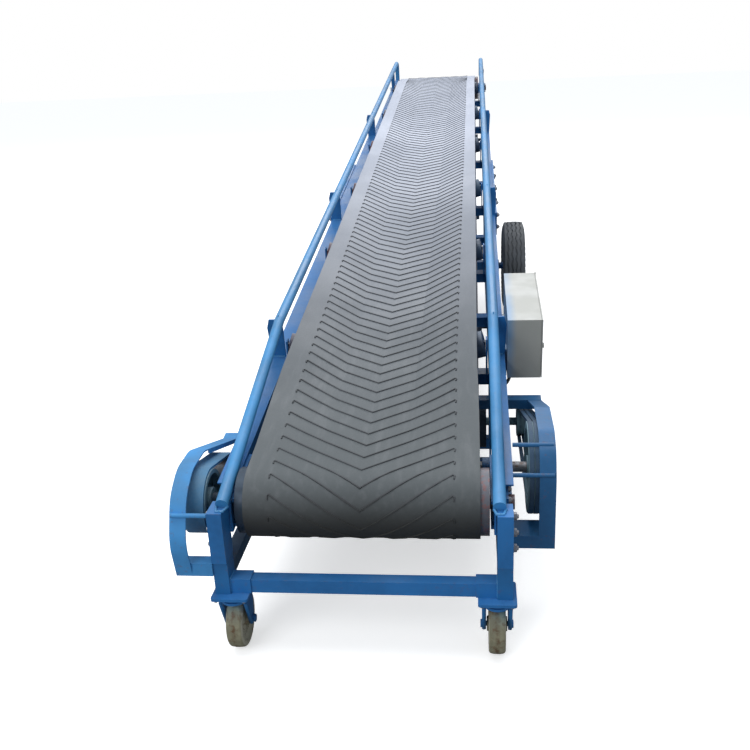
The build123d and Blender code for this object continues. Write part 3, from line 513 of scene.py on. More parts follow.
def roller_material():
    """Idler rollers: dark enamel with dust, red primer left on the left ends, blue on the right ones."""
    shader = Shader("idler_enamel")
    mottle = use_group(shader, "Mottle", Scale=6.0, Fine_scale=60.0)
    tone = shader.mix(mottle["Broad"], (0.022, 0.036, 0.072), (0.040, 0.060, 0.110))
    at = shader.axes(shader.coordinate())
    outward = shader.math("ABSOLUTE", at["X"])
    roller_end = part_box("carrying_rollers")[1].x
    primed = shader.ranged(outward, roller_end - 0.075, roller_end - 0.055, 0.0, 0.85)
    primed = shader.math("MULTIPLY", primed, mottle["Broad"])
    rightward = shader.ranged(at["X"], -0.01, 0.01)
    tone = shader.mix(primed, tone, shader.mix(rightward, (0.210, 0.070, 0.060), (0.085, 0.150, 0.230)))
    tone = shader.dusted(tone, 0.40, 12.0, (0.16, 0.18, 0.21))
    shader.feed("Base Color", tone)
    shader.roughen(mottle, 0.42, 0.60)
    shader.bump(mottle["Fine"], 0.25, 0.0005)
    return shader.material


def bare_metal(name, base, roughness, rust):
    """Bare steel with dull patches and rust bloom."""
    shader = Shader(name)
    mottle = use_group(shader, "Mottle", Scale=7.0, Fine_scale=90.0)
    tone = shader.mix(mottle["Broad"], [c * 0.6 for c in base], base)
    bloom = shader.ranged(mottle["Fine"], 0.62, 0.95, 0.0, rust)
    tone = shader.mix(bloom, tone, colours().rust[:])
    shader.feed("Base Color", tone)
    shader.feed("Metallic", shader.math("SUBTRACT", 1.0, bloom))
    shader.roughen(mottle, roughness, roughness + 0.25)
    shader.bump(mottle["Fine"], 0.3, 0.0005)
    return shader.material


def drum_material():
    """Drum shell: dull steel with reddish patches, and dark blue at its left end standing in for the blue
    plate beside it, partly its paint and partly painted shade.
    """
    shader = Shader("drum_steel")
    mottle = use_group(shader, "Mottle", Scale=9.0, Fine_scale=70.0)
    steel = (0.125, 0.130, 0.155)
    tone = shader.mix(mottle["Broad"], [c * 0.6 for c in steel], steel)
    reddish = shader.ranged(mottle["Fine"], 0.45, 0.90, 0.0, 0.55)
    tone = shader.mix(reddish, tone, (0.210, 0.075, 0.065))
    at = shader.axes(shader.coordinate())
    # Dark blue at the left end: the blue plate's paint with its shade painted on
    painted = shader.ranged(at["X"], -BELT_HALF, -BELT_HALF + 0.01, 0.92, 0.0)
    tone = shader.mix(painted, tone, (0.014, 0.035, 0.062))
    shader.feed("Base Color", tone)
    shader.roughen(mottle, 0.34, 0.52)
    shader.fix("Metallic", 0.35)
    shader.bump(mottle["Fine"], 0.3, 0.0005)
    return shader.material


def rubber(name, base, dust=0.3, roughness=0.62, dusty=(0.30, 0.31, 0.32)):
    """Moulded rubber with a fine grain and settled dust."""
    shader = Shader(name)
    mottle = use_group(shader, "Mottle", Scale=5.0, Fine_scale=120.0)
    tone = shader.mix(mottle["Broad"], [c * 0.72 for c in base], [min(1, c * 1.25) for c in base])
    tone = shader.dusted(tone, dust, 12.0, dusty)
    tone = shader.mix(shader.math("MULTIPLY", mottle["Fine"], 0.15), tone, dusty)
    shader.feed("Base Color", tone)
    shader.roughen(mottle, roughness, roughness + 0.15)
    shader.bump(mottle["Fine"], 0.35, 0.0005)
    return shader.material


# Painted shade: near-black tone of the belt and ribs where they turn under round the tail drum
PAINTED_SHADE = (0.017, 0.018, 0.017)


def wrap_shade(shader):
    """Share of painted shade on the belt where it turns under round the tail drum, strongest low on the turn.
    """
    at = shader.axes(shader.coordinate())
    below = shader.ranged(at["Z"], TAIL.z - BELT_OUTER * 0.5, TAIL.z + BELT_OUTER * 1.05, 0.97, 0.0)
    near_tail = shader.ranged(at["Y"], TAIL.y + 0.02, TAIL.y + 0.10, 1.0, 0.0)
    return shader.math("MULTIPLY", below, near_tail)


def rib_material():
    """Ribs: rubber a little darker than the cover, with painted shade where the belt turns under round the
    tail drum.
    """
    shader = Shader("rib_rubber")
    mottle = use_group(shader, "Mottle", Scale=5.0, Fine_scale=120.0)
    tone = shader.mix(mottle["Broad"], (0.036, 0.040, 0.046), (0.062, 0.068, 0.076))
    # Painted shade on the ribs where the belt turns under round the tail drum
    tone = shader.mix(wrap_shade(shader), tone, PAINTED_SHADE)
    shader.feed("Base Color", tone)
    shader.roughen(mottle, 0.58, 0.72)
    shader.bump(mottle["Fine"], 0.30, 0.0004)
    return shader.material


def belt_material():
    """Belt cover: grey rubber turning paler towards the head, partly dust and partly painted reflection of
    glancing light, with faint lengthwise scuffs.
    """
    shader = Shader("belt_cover")
    base = colours().belt_rubber[:]
    mottle = use_group(shader, "Mottle", Scale=1.1, Fine_scale=160.0)
    coordinate = shader.coordinate()
    at = shader.axes(coordinate)
    # Paler towards the head: partly dust, partly painted reflection of glancing light on the cover
    lower = shader.ranged(at["Y"], TAIL.y - 0.1, TAIL.y + 0.30 * RUN.y)
    upper = shader.ranged(at["Y"], TAIL.y + 0.12 * RUN.y, TAIL.y + 0.74 * RUN.y)
    tone = shader.mix(lower, base, (0.150, 0.166, 0.195))
    tone = shader.mix(upper, tone, (0.490, 0.530, 0.640))
    stretched = shader.node("ShaderNodeMapping")
    stretched.inputs["Scale"].default_value = (30.0, 1.0, 30.0)
    shader.link(coordinate, stretched.inputs["Vector"])
    scuffs = shader.node("ShaderNodeTexNoise")
    scuffs.inputs["Scale"].default_value = 1.6
    scuffs.inputs["Detail"].default_value = 6.0
    shader.link(stretched.outputs["Vector"], scuffs.inputs["Vector"])
    streak = shader.ranged(scuffs.outputs["Fac"], 0.45, 0.80, 0.0, 0.16)
    tone = shader.mix(streak, tone, (0.27, 0.28, 0.30))
    cloud = shader.ranged(mottle["Broad"], 0.0, 1.0, 0.0, 0.12)
    tone = shader.mix(cloud, tone, [c * 0.6 for c in base])
    grain = shader.ranged(mottle["Fine"], 0.0, 1.0, 0.0, 0.10)
    tone = shader.mix(grain, tone, [c * 0.5 for c in base])
    # Painted shade where the belt turns under round the tail drum
    tone = shader.mix(wrap_shade(shader), tone, PAINTED_SHADE)
    shader.feed("Base Color", tone)
    shader.roughen(mottle, 0.52, 0.66)
    shader.bump(mottle["Fine"], 0.20, 0.0004)
    return shader.material


def caster_material():
    """Nylon tread: cream, with rust stains, a dark seam and blue overspray on its upper half."""
    shader = Shader("caster_nylon")
    mottle = use_group(shader, "Mottle", Scale=16.0, Fine_scale=70.0)
    base = colours().caster_nylon[:]
    tone = shader.mix(mottle["Broad"], [c * 0.55 for c in base], base)
    facing = shader.axes(shader.normal())
    sideways = shader.math("ABSOLUTE", facing["X"])
    sideways = shader.ranged(sideways, 0.6, 0.95, 0.0, 0.75)
    tone = shader.mix(sideways, tone, (0.560, 0.540, 0.430))
    stain = shader.ranged(mottle["Fine"], 0.60, 0.98, 0.0, 0.60)
    tone = shader.mix(stain, tone, (0.16, 0.085, 0.040))
    at = shader.axes(shader.coordinate())
    from_middle = shader.math("SUBTRACT", shader.math("ABSOLUTE", at["X"]), CASTER_X)
    beside_seam = shader.math("ABSOLUTE", from_middle)
    seam = shader.ranged(beside_seam, 0.002, 0.009, 0.85, 0.0)
    seam = shader.math("MULTIPLY", seam, mottle["Fine"])
    tone = shader.mix(seam, tone, (0.105, 0.050, 0.018))
    upper = shader.ranged(at["Z"], 0.100, 0.165, 0.0, 0.75)
    spray = shader.math("MULTIPLY", upper, mottle["Broad"])
    tone = shader.mix(spray, tone, (0.05, 0.22, 0.30))
    shader.feed("Base Color", tone)
    shader.fix("Roughness", 0.55)
    shader.bump(mottle["Fine"], 0.5, 0.0012)
    return shader.material


def box_material():
    """Powder-coated sheet: warm grey, a fine skin, and blue overspray beside the frame."""
    shader = Shader("box_coat")
    base = colours().box_paint[:]
    mottle = use_group(shader, "Mottle", Scale=2.5, Fine_scale=180.0)
    tone = shader.mix(mottle["Broad"], [c * 0.86 for c in base], base)
    at = shader.axes(shader.coordinate())
    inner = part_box("control_box")[0].x + 0.008
    beside = shader.ranged(at["X"], inner, inner + 0.035, 0.8, 0.0)
    spray = shader.math("MULTIPLY", beside, mottle["Broad"])
    facing = shader.axes(shader.normal())
    not_inside = shader.ranged(facing["X"], 0.3, 0.7, 1.0, 0.0)
    spray = shader.math("MULTIPLY", spray, not_inside)
    tone = shader.mix(spray, tone, colours().rail_paint[:])
    worn = use_group(shader, "Edge wear", Reach=0.002, Amount=0.7, Grain=110.0)
    tone = shader.mix(worn["Mask"], tone, (0.20, 0.19, 0.18))
    tone = shader.dusted(tone, 0.45, 8.0, (0.70, 0.71, 0.70))
    shader.feed("Base Color", tone)
    shader.fix("Roughness", 0.48)
    shader.bump(mottle["Fine"], 0.3, 0.0004)
    return shader.material


MATERIALS = {}


def build_materials():
    """Shared groups first, then every finish of the conveyor."""
    GROUPS["Edge wear"] = build_edge_wear()
    GROUPS["Mottle"] = build_mottle()
    GROUPS["Settled dust"] = build_dust()
    tint = colours()
    blue = tint.frame_paint[:]
    MATERIALS.update({
        "frame": paint("frame_enamel", blue, wear=0.9, rust=0.12),
        "rail": paint(
            "rail_enamel", tint.rail_paint[:], wear=0.5, rust=0.10, dust=0.15, roughness=0.32, light=0.10
        ),
        "leg": paint("leg_enamel", (0.016, 0.140, 0.370), wear=0.9, rust=0.20, dust=0.20),
        # Painted shade: runners in the frame's blue darkened for their shaded sides
        "runner": paint("runner_enamel", (0.010, 0.065, 0.150), wear=0.7, rust=0.20, dust=0.25),
        # One guard enamel in two copies: paler on the left guard as painted light, darker on the right guard
        # as painted shade
        "guard": paint(
            "guard_enamel", (0.055, 0.270, 0.600), dust=0.45, roughness=0.52, light=0.10,
            dusty=(0.060, 0.120, 0.170),
        ),
        "guard_painted_shade": paint(
            "guard_enamel_dark", (0.018, 0.125, 0.310), dust=0.30, dusty=(0.060, 0.105, 0.130)
        ),
        "roller": roller_material(),
        "pulley": paint("pulley_iron", (0.125, 0.225, 0.270), wear=0.6, rust=0.3, dust=0.35, roughness=0.50),
        "bearing": paint("bearing_iron", [c * 0.75 for c in blue], wear=0.9, rust=0.5, dust=0.3),
        "motor": paint("motor_iron", (0.022, 0.045, 0.075), wear=0.8, rust=0.3, dust=0.35, roughness=0.45),
        "drum": drum_material(),
        "shaft": bare_metal("shaft_steel", (0.30, 0.31, 0.33), 0.36, 0.55),
        "bolt": bare_metal("bolt_steel", (0.34, 0.36, 0.40), 0.38, 0.40),
        "belt": belt_material(),
        "rib": rib_material(),
        "drive_belt": rubber("drive_rubber", tint.drive_rubber[:], dust=0.30, dusty=(0.16, 0.24, 0.30)),
        "v_belt": rubber("v_belt_rubber", (0.022, 0.066, 0.130), dust=0.15, dusty=(0.10, 0.16, 0.22)),
        "tyre": rubber(
            "tyre_rubber", tint.tyre_rubber[:], dust=0.35, roughness=0.70, dusty=(0.20, 0.20, 0.20)
        ),
        "cable": rubber("cable_sheath", (0.012, 0.012, 0.013), dust=0.15, roughness=0.45),
        "caster": caster_material(),
        "box": box_material(),
    })


# What each CAD node is finished with; the rest take the frame's enamel
NODE_FINISH = {
    node: finish
    for finish, nodes in (
        ("belt", ("belt",)), ("leg", ("tail_legs",)), ("runner", ("base_runners",)),
        ("drum", ("tail_drum", "head_drum")),
        ("roller", ("carrying_rollers", "return_rollers")),
        ("rail", ("rail_left", "rail_right")),
        ("guard", ("guard_left",)), ("guard_painted_shade", ("guard_right",)),
        ("pulley", ("drum_pulley", "large_pulley", "motor_pulley")),
        ("shaft", ("countershaft",)), ("drive_belt", ("flat_drive_belt",)), ("v_belt", ("v_belts",)),
        ("bearing", ("counter_bearings", "tail_bearings", "head_bearings")),
        ("motor", ("motor",)), ("cable", ("motor_cable",)), ("box", ("control_box", "box_door")),
        ("caster", ("caster_wheel_left", "caster_wheel_right")),
        ("tyre", ("tyre_left", "tyre_right")),
    )
    for node in nodes
}


class CONVEYOR_OT_finishes(bpy.types.Operator):
    """Gives every part of the frame its finish"""

    bl_idname = "conveyor.finishes"
    bl_label = "Finishes"

    def execute(self, context):
        build_materials()
        for name, obj in NODES.items():
            material = MATERIALS[NODE_FINISH.get(name, "frame")]
            if not obj.material_slots:
                obj.data.materials.append(material)
            for holder in obj.material_slots:
                holder.material = material
        return {"FINISHED"}


# Belt surface, from the same sizes as the solid


def trough_share(u):
    """Eased share of the trough's angle at a share of a transition."""
    return u * u * (3 - 2 * u)


def trough_at(s):
    """Angle of the belt's wings at s along the top run."""
    if s < TAIL_TRANSITION:
        return TROUGH * trough_share(max(s, 0.0) / TAIL_TRANSITION)
    if s > DRUM_SPACING - HEAD_TRANSITION:
        return TROUGH * trough_share(max(DRUM_SPACING - s, 0.0) / HEAD_TRANSITION)
    return TROUGH


def belt_surface(x, travel):
    """Point and outward normal of the belt's cover, x across and travel along its loop.

    Travel starts where the top run leaves the tail drum and goes round by the head.
    """
    wrap = math.pi * BELT_OUTER
    loop = 2 * (DRUM_SPACING + wrap)
    travel %= loop
    if travel <= DRUM_SPACING:
        angle = trough_at(travel)
        side = abs(x) - CENTRE_HALF
        if side <= 0:
            return place(x, travel, BELT_OUTER), UPWARD.copy()
        sign = 1 if x > 0 else -1
        point = place(
            sign * (CENTRE_HALF + side * math.cos(angle)), travel, BELT_OUTER + side * math.sin(angle)
        )
        normal = UPWARD * math.cos(angle) - ACROSS * (sign * math.sin(angle))
        return point, normal
    travel -= DRUM_SPACING
    if travel <= wrap:
        a = travel / BELT_OUTER
        normal = UPWARD * math.cos(a) + ALONG * math.sin(a)
        return place(x, DRUM_SPACING, 0) + normal * BELT_OUTER, normal
    travel -= wrap
    if travel <= DRUM_SPACING:
        return place(x, DRUM_SPACING - travel, -BELT_OUTER), -UPWARD
    a = (travel - DRUM_SPACING) / BELT_OUTER
    normal = -UPWARD * math.cos(a) - ALONG * math.sin(a)
    return place(x, 0, 0) + normal * BELT_OUTER, normal


# How deep a rib's foot sits in the belt, and its bends (across, travel) beyond its reach
RIB_SINK = 0.0002
RIB_HOOK = ((0.004, -0.004), (0.003, -0.014))


def rib_line(start, sign):
    """Points (x, travel) of one arm of a chevron, from its apex out to its small hook."""
    size = sizes()
    slope = math.tan(size.rib_angle)
    steps = (0.0, 0.04, 0.08, CENTRE_HALF, 0.15, 0.195, size.rib_reach)
    line = [(sign * x, start + x * slope) for x in steps]
    end_x, end_travel = line[-1]
    return line + [(end_x + sign * x, end_travel + ahead) for x, ahead in RIB_HOOK]


def add_rib(bm, line):
    """Adds one rib with a flat crown and sloping sides along the line."""
    size = sizes()
    half, crown, height = size.rib_width / 2, size.rib_width / 4, size.rib_height
    rings = []
    for k, (x, travel) in enumerate(line):
        before = line[max(k - 1, 0)]
        after = line[min(k + 1, len(line) - 1)]
        run = Vector((after[0] - before[0], after[1] - before[1]))
        run.normalize()
        side = Vector((-run.y, run.x))
        if k == 0:
            side = Vector((0.0, 1.0 if x >= 0 and run.x > 0 else -1.0)) * abs(1 / run.x)
        ring = []
        for offset, lift in ((-half, -RIB_SINK), (-crown, height), (crown, height), (half, -RIB_SINK)):
            point, normal = belt_surface(x + side.x * offset, travel + side.y * offset)
            ring.append(bm.verts.new(point + normal * lift))
        rings.append(ring)
    for near, far in zip(rings, rings[1:]):
        for i in range(3):
            bm.faces.new((near[i], near[i + 1], far[i + 1], far[i]))
    bm.faces.new(rings[-1])


class CONVEYOR_OT_belt_ribs(bpy.types.Operator):
    """Chevron ribs all the way round the belt"""

    bl_idname = "conveyor.belt_ribs"
    bl_label = "Belt ribs"

    def execute(self, context):
        loop = 2 * (DRUM_SPACING + math.pi * BELT_OUTER)
        count = round(loop / sizes().rib_pitch)
        bm = bmesh.new()
        for i in range(count):
            for sign in (-1, 1):
                add_rib(bm, rib_line(i * loop / count, sign))
        ribs = finish_mesh("belt_chevrons", bm, MATERIALS["rib"], "frame", smooth=False)
        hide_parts("belt_ribs")
        return {"FINISHED"}


# Small parts

# Places of bolts and welds, across and along from the tail drum or up from its axis
POST_X = 0.352
CHANNEL_X = 0.407
CHANNEL_TOP = 0.055
BRACKETS = (0.762, 2.250, 4.000, 5.700)
BRACKET_BOLT_AHEAD = 0.016
WIDE_WEB, NARROW_WEB, NARROW_FROM = 0.377, 0.355, 4.2
SPLICE_BOLTS = (2.32, 2.52, 2.77, 3.02, 3.20)
SPLICE_ROWS = (-0.025, 0.035)
BEARING_BOLT = 0.024
TAIL_BEARING_X, HEAD_BEARING_X = 0.383, 0.387
# Height and place along of a post's bolts, from its foot and middle
POST_BOLTS = ((0.040, 0.0), (0.085, 0.0), (0.125, 0.012))
# Bolts of a caster plate: their distance from its middle both ways, and the face they sit on
CASTER_BOLT_X, CASTER_BOLT_Y, CASTER_PLATE = 0.038, 0.043, 0.005
# Road wheels: place across, nuts on their circle, and how far both faces stand out
WHEEL_X = 0.525
WHEEL_NUTS, NUT_CIRCLE, NUT_FACE = 5, 0.066, 0.0235
HUB_FACE = 0.054
SIDES = (("left", -1), ("right", 1))
# Share of the beads' width, and the two ends (across, up) of each bead beside a bracket
BRACKET_WELDS = (
    (0.7, ((0.350, 0.056), (0.392, 0.056))),
    (0.6, ((0.358, 0.2075), (0.376, 0.190))),
)


class CONVEYOR_OT_bolts(bpy.types.Operator):
    """Bolts of the frame, the bearings, the casters and the wheels"""

    bl_idname = "conveyor.bolts"
    bl_label = "Bolts"

    def execute(self, context):
        size = sizes().bolt_size
        post_low, post_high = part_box("tail_posts")
        post_y = (post_low.y + post_high.y) / 2
        self.add_frame_bolts(size, post_low.z, post_high.x, post_y)
        self.add_caster_bolts(size, post_y)
        for name, sign in SIDES:
            self.add_wheel_nuts(size, name, sign)
        return {"FINISHED"}

    def add_frame_bolts(self, size, post_foot, post_face, post_y):
        """Bolts of the posts, brackets, splices and bearings."""
        bm = bmesh.new()
        for sign in (-1, 1):
            out = ACROSS * sign
            for z, y in POST_BOLTS:
                add_bolt(bm, Vector((sign * post_face, post_y + y, post_foot + z)), out, size)
            for s in BRACKETS:
                web = WIDE_WEB if s < NARROW_FROM else NARROW_WEB
                add_bolt(bm, place(sign * web, s + BRACKET_BOLT_AHEAD, CHANNEL_TOP), UPWARD, size * 0.8)
            for s in SPLICE_BOLTS:
                for n in SPLICE_ROWS:
                    add_bolt(bm, place(sign * CHANNEL_X, s, n), out, size)
            for n in (-BEARING_BOLT, BEARING_BOLT):
                for ds in (-BEARING_BOLT, BEARING_BOLT):
                    add_bolt(bm, place(sign * TAIL_BEARING_X, ds, n), out, size * 0.7)
                    add_bolt(bm, place(sign * HEAD_BEARING_X, DRUM_SPACING + ds, n), out, size * 0.7)
        finish_mesh("frame_bolts", bm, MATERIALS["bolt"], "frame")

    def add_caster_bolts(self, size, post_y):
        """Four bolts up into each caster plate."""
        bm = bmesh.new()
        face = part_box("caster_plates")[0].z + CASTER_PLATE
        for sign in (-1, 1):
            for dx in (-CASTER_BOLT_X, CASTER_BOLT_X):
                for dy in (-CASTER_BOLT_Y, CASTER_BOLT_Y):
                    point = Vector((sign * POST_X + dx, post_y + dy, face))
                    add_bolt(bm, point, Vector((0, 0, -1)), size * 0.65)
        finish_mesh("caster_bolts", bm, MATERIALS["bolt"], "frame")

    def add_wheel_nuts(self, size, name, sign):
        """Nuts on a rim's face and the washer on its stub."""
        bm = bmesh.new()
        centre = middle(f"rim_{name}")
        out = ACROSS * sign
        for i in range(WHEEL_NUTS):
            a = 2 * math.pi * i / WHEEL_NUTS + 0.3
            face = Vector((sign * (WHEEL_X + NUT_FACE), centre.y, centre.z))
            spoke_end = Vector((0, math.cos(a), math.sin(a))) * NUT_CIRCLE
            add_bolt(bm, face + spoke_end, out, size * 0.9, washer=False)
        add_lathe(
            bm, Vector((sign * (WHEEL_X + HUB_FACE), centre.y, centre.z)), out,
            [(0.0, 0.030), (0.006, 0.030), (0.008, 0.026)], 28,
        )
        finish_mesh(f"wheel_nuts_{name}", bm, MATERIALS["bolt"], f"wheel_{name}")


class CONVEYOR_OT_welds(bpy.types.Operator):
    """Weld beads where tubes and plates of the frame meet"""

    bl_idname = "conveyor.welds"
    bl_label = "Weld beads"

    def execute(self, context):
        width = sizes().bead_width
        bm = bmesh.new()
        post_low, post_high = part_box("tail_posts")
        beam_low, beam_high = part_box("tail_crossbeam")
        front = post_low.y + 0.012
        top = post_high.z + 0.001
        for sign in (-1, 1):
            around = ((0.343, 0.030), (0.350, 0.0), (0.368, 0.0), (0.375, 0.030))
            add_bead(bm, [Vector((sign * x, front + y, top)) for x, y in around], width)
            x = sign * POST_X
            for z in (beam_low.z, beam_high.z - 0.002):
                add_bead(bm, [Vector((x, beam_low.y, z)), Vector((x, beam_high.y, z))], width * 0.8)
            y = beam_low.y + 0.002
            add_bead(bm, [Vector((x, y, beam_low.z)), Vector((x, y, beam_high.z))], width * 0.8)
            for s in BRACKETS:
                for near in (s - 0.004, s + 0.004):
                    for share, ends in BRACKET_WELDS:
                        add_bead(bm, [place(sign * x, near, n) for x, n in ends], width * share)
        finish_mesh("weld_beads", bm, MATERIALS["rail"], "frame")
        return {"FINISHED"}


# Road tyres

# Half section: the wall as (across, radius) from bead to shoulder, then the tread's places across
TYRE_WALL = (
    (0.041, 0.1263), (0.041, 0.142), (0.050, 0.150), (0.058, 0.165), (0.0645, 0.188),
    (0.0650, 0.205), (0.0635, 0.220), (0.0600, 0.236), (0.0560, 0.245),
)
LINED_WALL = range(4, 7)
WALL_LINE = 0.0006
TREAD = (0.0530, 0.0400, 0.0385, 0.0330, 0.0315, 0.0160, 0.0145, 0.0090, 0.0075)
GROOVED = {2, 3, 6, 7}
TREAD_EDGE = 0.053
CROWN = 0.0035
TREAD_INSET = 0.001
ZIGZAG = 0.0035
WAVE_STEPS = 6


class CONVEYOR_OT_tyres(bpy.types.Operator):
    """Road tyres with zigzag grooves and lined sidewalls"""

    bl_idname = "conveyor.tyres"
    bl_label = "Tyres"

    def execute(self, context):
        low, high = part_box("tyre_right")
        outer = (high.z - low.z) / 2
        sides = sizes().tread_waves * WAVE_STEPS
        for name, _ in SIDES:
            centre = middle(f"tyre_{name}")
            bm = bmesh.new()
            sections = []
            for i in range(sides):
                a = 2 * math.pi * i / sides
                out = Vector((0, math.cos(a), math.sin(a)))
                half = self.half_section(i, outer)
                full = half + [(-x, r) for x, r in reversed(half)]
                sections.append([bm.verts.new(centre + ACROSS * x + out * r) for x, r in full])
            skin_round(bm, sections)
            body = f"wheel_{name}"
            tyre = finish_mesh(f"road_tyre_{name}", bm, MATERIALS["tyre"], body)
            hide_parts(f"tyre_{name}")
        return {"FINISHED"}

    def half_section(self, i, outer):
        """Wall and tread at one of the steps round the tyre, from bead to middle."""
        section = []
        for k, (x, r) in enumerate(TYRE_WALL):
            if k in LINED_WALL:
                x += WALL_LINE * (1 if i % 4 < 2 else -1)
            section.append((x, r))
        phase = (i % WAVE_STEPS) / WAVE_STEPS
        zigzag = ZIGZAG * (abs(phase * 2 - 1) * 2 - 1)
        for k, x in enumerate(TREAD):
            drop = CROWN * (x / TREAD_EDGE) ** 2 + TREAD_INSET
            if k in GROOVED:
                drop += sizes().tread_depth
            section.append((x + (zigzag if k else 0.0), outer - drop))
        return section


# Caster wheels and the edges of their forks

# Half widths of a wheel's tread and web, and the rounding of its tread
CASTER_TREAD, CASTER_WEB = 0.0225, 0.0130
CASTER_CORNER, CORNER_STEPS = 0.009, 6
# Fork: crown's height, cheeks' place across, and where its front edges start and end
FORK_CROWN, FORK_CHEEK = 0.163, 0.035
EDGE_TOP_Y, EDGE_FOOT_Y, EDGE_FOOT_Z = -0.021, -0.015, -0.006
EDGE_RADIUS, EDGE_END, EDGE_ROUND = 0.0050, 0.0035, 0.002


class CONVEYOR_OT_casters(bpy.types.Operator):
    """Caster wheels with rounded treads, dished sides and hub faces"""

    bl_idname = "conveyor.casters"
    bl_label = "Caster wheels"

    def execute(self, context):
        for side, _ in SIDES:
            low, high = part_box(f"caster_wheel_{side}")
            centre = (low + high) / 2
            outer, half = (high.z - low.z) / 2, (high.x - low.x) / 2
            right_half = [
                (half, 0.0073), (half, 0.0195), (0.017, 0.0215), (CASTER_WEB, 0.028),
                (CASTER_WEB, outer - 0.030), (0.0185, outer - 0.020), (CASTER_TREAD, outer - 0.015),
            ]
            corner_x, corner_r = CASTER_TREAD - CASTER_CORNER, outer - 0.0012 - CASTER_CORNER
            for step in range(1, CORNER_STEPS + 1):
                a = math.pi / 2 * step / CORNER_STEPS
                right_half.append((
                    corner_x + CASTER_CORNER * math.cos(a), corner_r + CASTER_CORNER * math.sin(a)
                ))
            right_half.append((0.006, outer - 0.0002))
            profile = [(-x, r) for x, r in right_half] + [(x, r) for x, r in reversed(right_half)]
            bm = bmesh.new()
            add_ring_solid(bm, centre, ACROSS, profile, 96)
            for k in range(3):
                ridge = outer - 0.034 - 0.006 * k
                for sign in (-1, 1):
                    add_ring_solid(bm, centre + ACROSS * (sign * CASTER_WEB), ACROSS * sign, [
                        (-0.0006, ridge - 0.0016), (0.0008, ridge - 0.0006),
                        (0.0008, ridge + 0.0006), (-0.0006, ridge + 0.0016),
                    ], 64)
            wheel = finish_mesh(
                f"caster_tread_{side}", bm, MATERIALS["caster"], f"caster_roll_{side}"
            )
            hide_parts(f"caster_wheel_{side}")
            self.add_fork_edges(side, centre)
        return {"FINISHED"}

    def add_fork_edges(self, side, centre):
        """Rolled front edges of the fork's two cheeks."""
        swivel_y = middle("caster_plates").y
        bm = bmesh.new()
        for sign in (-1, 1):
            x = centre.x + sign * FORK_CHEEK
            top = Vector((x, swivel_y + EDGE_TOP_Y, FORK_CROWN))
            run = Vector((x, centre.y + EDGE_FOOT_Y, centre.z + EDGE_FOOT_Z)) - top
            length = run.length
            add_lathe(bm, top, run, [
                (0.0, EDGE_END), (EDGE_ROUND, EDGE_RADIUS),
                (length - EDGE_ROUND, EDGE_RADIUS), (length, EDGE_END),
            ], 16)
        finish_mesh(f"fork_edges_{side}", bm, MATERIALS["leg"], f"caster_swivel_{side}")


# Stage

FLOOR_REACH = 30.0
# Name, place, target, watts and width of each soft light
LIGHTS = (
    ("key", (-0.8, -1.8, 7.0), (0.0, -1.2, 0.5), 330.0, 5.5),
    ("back", (0.5, 6.5, 6.5), (0.0, 0.5, 0.6), 330.0, 6.0),
    ("front", (-2.6, -7.0, 3.2), (-0.2, -2.9, 0.3), 100.0, 3.0),
)


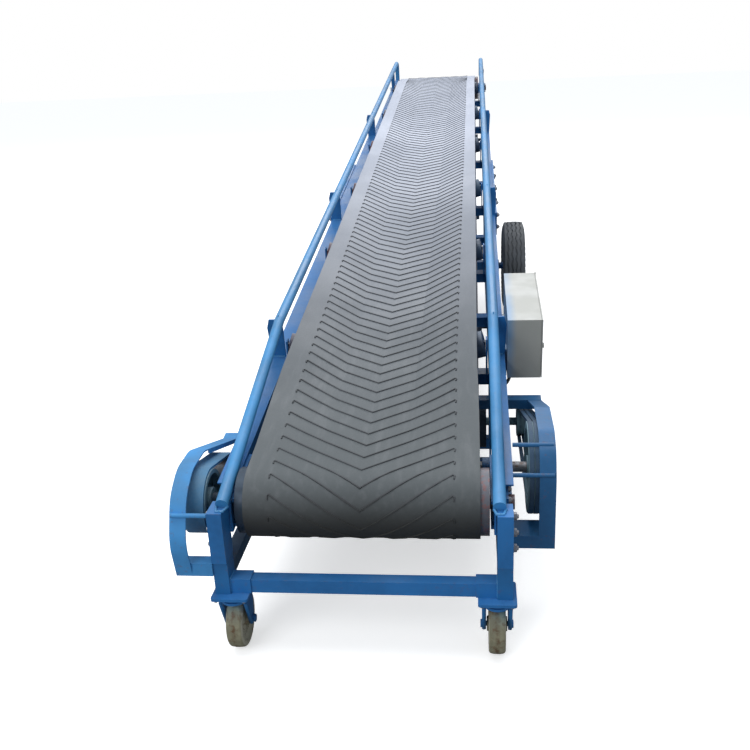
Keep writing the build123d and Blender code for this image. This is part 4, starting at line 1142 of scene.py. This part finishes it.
class CONVEYOR_OT_stage(bpy.types.Operator):
    """Pale floor, soft light and the camera of the photograph"""

    bl_idname = "conveyor.stage"
    bl_label = "Stage"

    def execute(self, context):
        scene = context.scene
        self.add_camera(scene)
        self.add_floor(scene)
        self.add_lights(scene)
        scene.view_settings.view_transform = "Standard"
        return {"FINISHED"}

    def add_camera(self, scene):
        """Camera fitted to the photograph."""
        turn, tilt, roll = CAMERA_TURN, CAMERA_TILT, CAMERA_ROLL
        forward = Vector((-math.sin(turn) * math.cos(tilt), math.cos(turn) * math.cos(tilt), -math.sin(tilt)))
        right = Vector((math.cos(turn), math.sin(turn), 0.0))
        up = right.cross(forward)
        rolled_right = right * math.cos(roll) + up * math.sin(roll)
        rolled_up = up * math.cos(roll) - right * math.sin(roll)
        data = bpy.data.cameras.new("photo_camera")
        data.lens = CAMERA_LENS
        data.sensor_width = 36.0
        data.clip_start, data.clip_end = 0.05, 200.0
        camera = bpy.data.objects.new("photo_camera", data)
        scene.collection.objects.link(camera)
        camera.matrix_world = Matrix((
            (rolled_right.x, rolled_up.x, -forward.x, CAMERA_X),
            (rolled_right.y, rolled_up.y, -forward.y, TAIL.y - CAMERA_BACK),
            (rolled_right.z, rolled_up.z, -forward.z, CAMERA_HEIGHT),
            (0, 0, 0, 1),
        ))
        scene.camera = camera

    def add_floor(self, scene):
        """Floor that is bright to the camera and dimmer to the conveyor."""
        bm = bmesh.new()
        corners = ((-1, -1), (1, -1), (1, 1), (-1, 1))
        bm.faces.new([bm.verts.new((x * FLOOR_REACH, y * FLOOR_REACH, -0.001)) for x, y in corners])
        mesh = bpy.data.meshes.new("floor")
        bm.to_mesh(mesh)
        bm.free()
        floor = bpy.data.objects.new("floor", mesh)
        scene.collection.objects.link(floor)
        shader = Shader("floor_paper")
        seen = shader.node("ShaderNodeLightPath").outputs["Is Camera Ray"]
        shader.feed("Base Color", shader.mix(seen, (0.28, 0.28, 0.28), (0.90, 0.90, 0.90)))
        shader.feed("Emission Color", shader.mix(seen, (0.0, 0.0, 0.0), (1.0, 1.0, 1.0)))
        for label, value in (("Emission Strength", 0.55), ("Roughness", 0.95), ("Specular IOR Level", 0.1)):
            shader.fix(label, value)
        mesh.materials.append(shader.material)

    def add_lights(self, scene):
        """Sky, white to the camera, and the soft lights."""
        world = bpy.data.worlds.new("studio")
        world.use_nodes = True
        nodes = Nodes(world.node_tree)
        seen = nodes.node("ShaderNodeLightPath")
        sky = nodes.mix(seen.outputs["Is Camera Ray"], (0.46, 0.49, 0.52), (1.0, 1.0, 1.0))
        nodes.link(sky, nodes.tree.nodes["Background"].inputs["Color"])
        scene.world = world
        for name, spot, target, watts, width in LIGHTS:
            data = bpy.data.lights.new(name, "AREA")
            data.energy = watts
            data.size = width
            light = bpy.data.objects.new(name, data)
            scene.collection.objects.link(light)
            light.location = spot
            light.rotation_euler = (Vector(target) - Vector(spot)).to_track_quat("-Z", "Y").to_euler()


OPERATORS = (
    CONVEYOR_OT_stage, CONVEYOR_OT_finishes, CONVEYOR_OT_belt_ribs, CONVEYOR_OT_bolts,
    CONVEYOR_OT_welds, CONVEYOR_OT_tyres, CONVEYOR_OT_casters,
)


class CONVEYOR_PT_panel(bpy.types.Panel):
    """Lists the pieces of the conveyor and its sizes and colours"""

    bl_label = "Conveyor"
    bl_idname = "CONVEYOR_PT_panel"
    bl_space_type = "VIEW_3D"
    bl_region_type = "UI"
    bl_category = "Conveyor"

    def draw(self, context):
        for operator in OPERATORS:
            self.layout.operator(operator.bl_idname)
        for group in (context.scene.conveyor_sizes, context.scene.conveyor_colours):
            for name in group.__annotations__:
                self.layout.prop(group, name)


CLASSES = (ConveyorSizes, ConveyorColours, *OPERATORS, CONVEYOR_PT_panel)


def register():
    """Registers the classes and hangs the settings on the scene."""
    for cls in CLASSES:
        bpy.utils.register_class(cls)
    bpy.types.Scene.conveyor_sizes = PointerProperty(type=ConveyorSizes)
    bpy.types.Scene.conveyor_colours = PointerProperty(type=ConveyorColours)


def unregister():
    """Takes back what register did."""
    del bpy.types.Scene.conveyor_colours
    del bpy.types.Scene.conveyor_sizes
    for cls in reversed(CLASSES):
        bpy.utils.unregister_class(cls)


def main():
    """Builds the whole scene."""
    register()
    bpy.ops.conveyor.stage()
    bpy.ops.conveyor.finishes()
    bpy.ops.conveyor.belt_ribs()
    bpy.ops.conveyor.bolts()
    bpy.ops.conveyor.welds()
    bpy.ops.conveyor.tyres()
    bpy.ops.conveyor.casters()


if __name__ == "__main__":
    main()
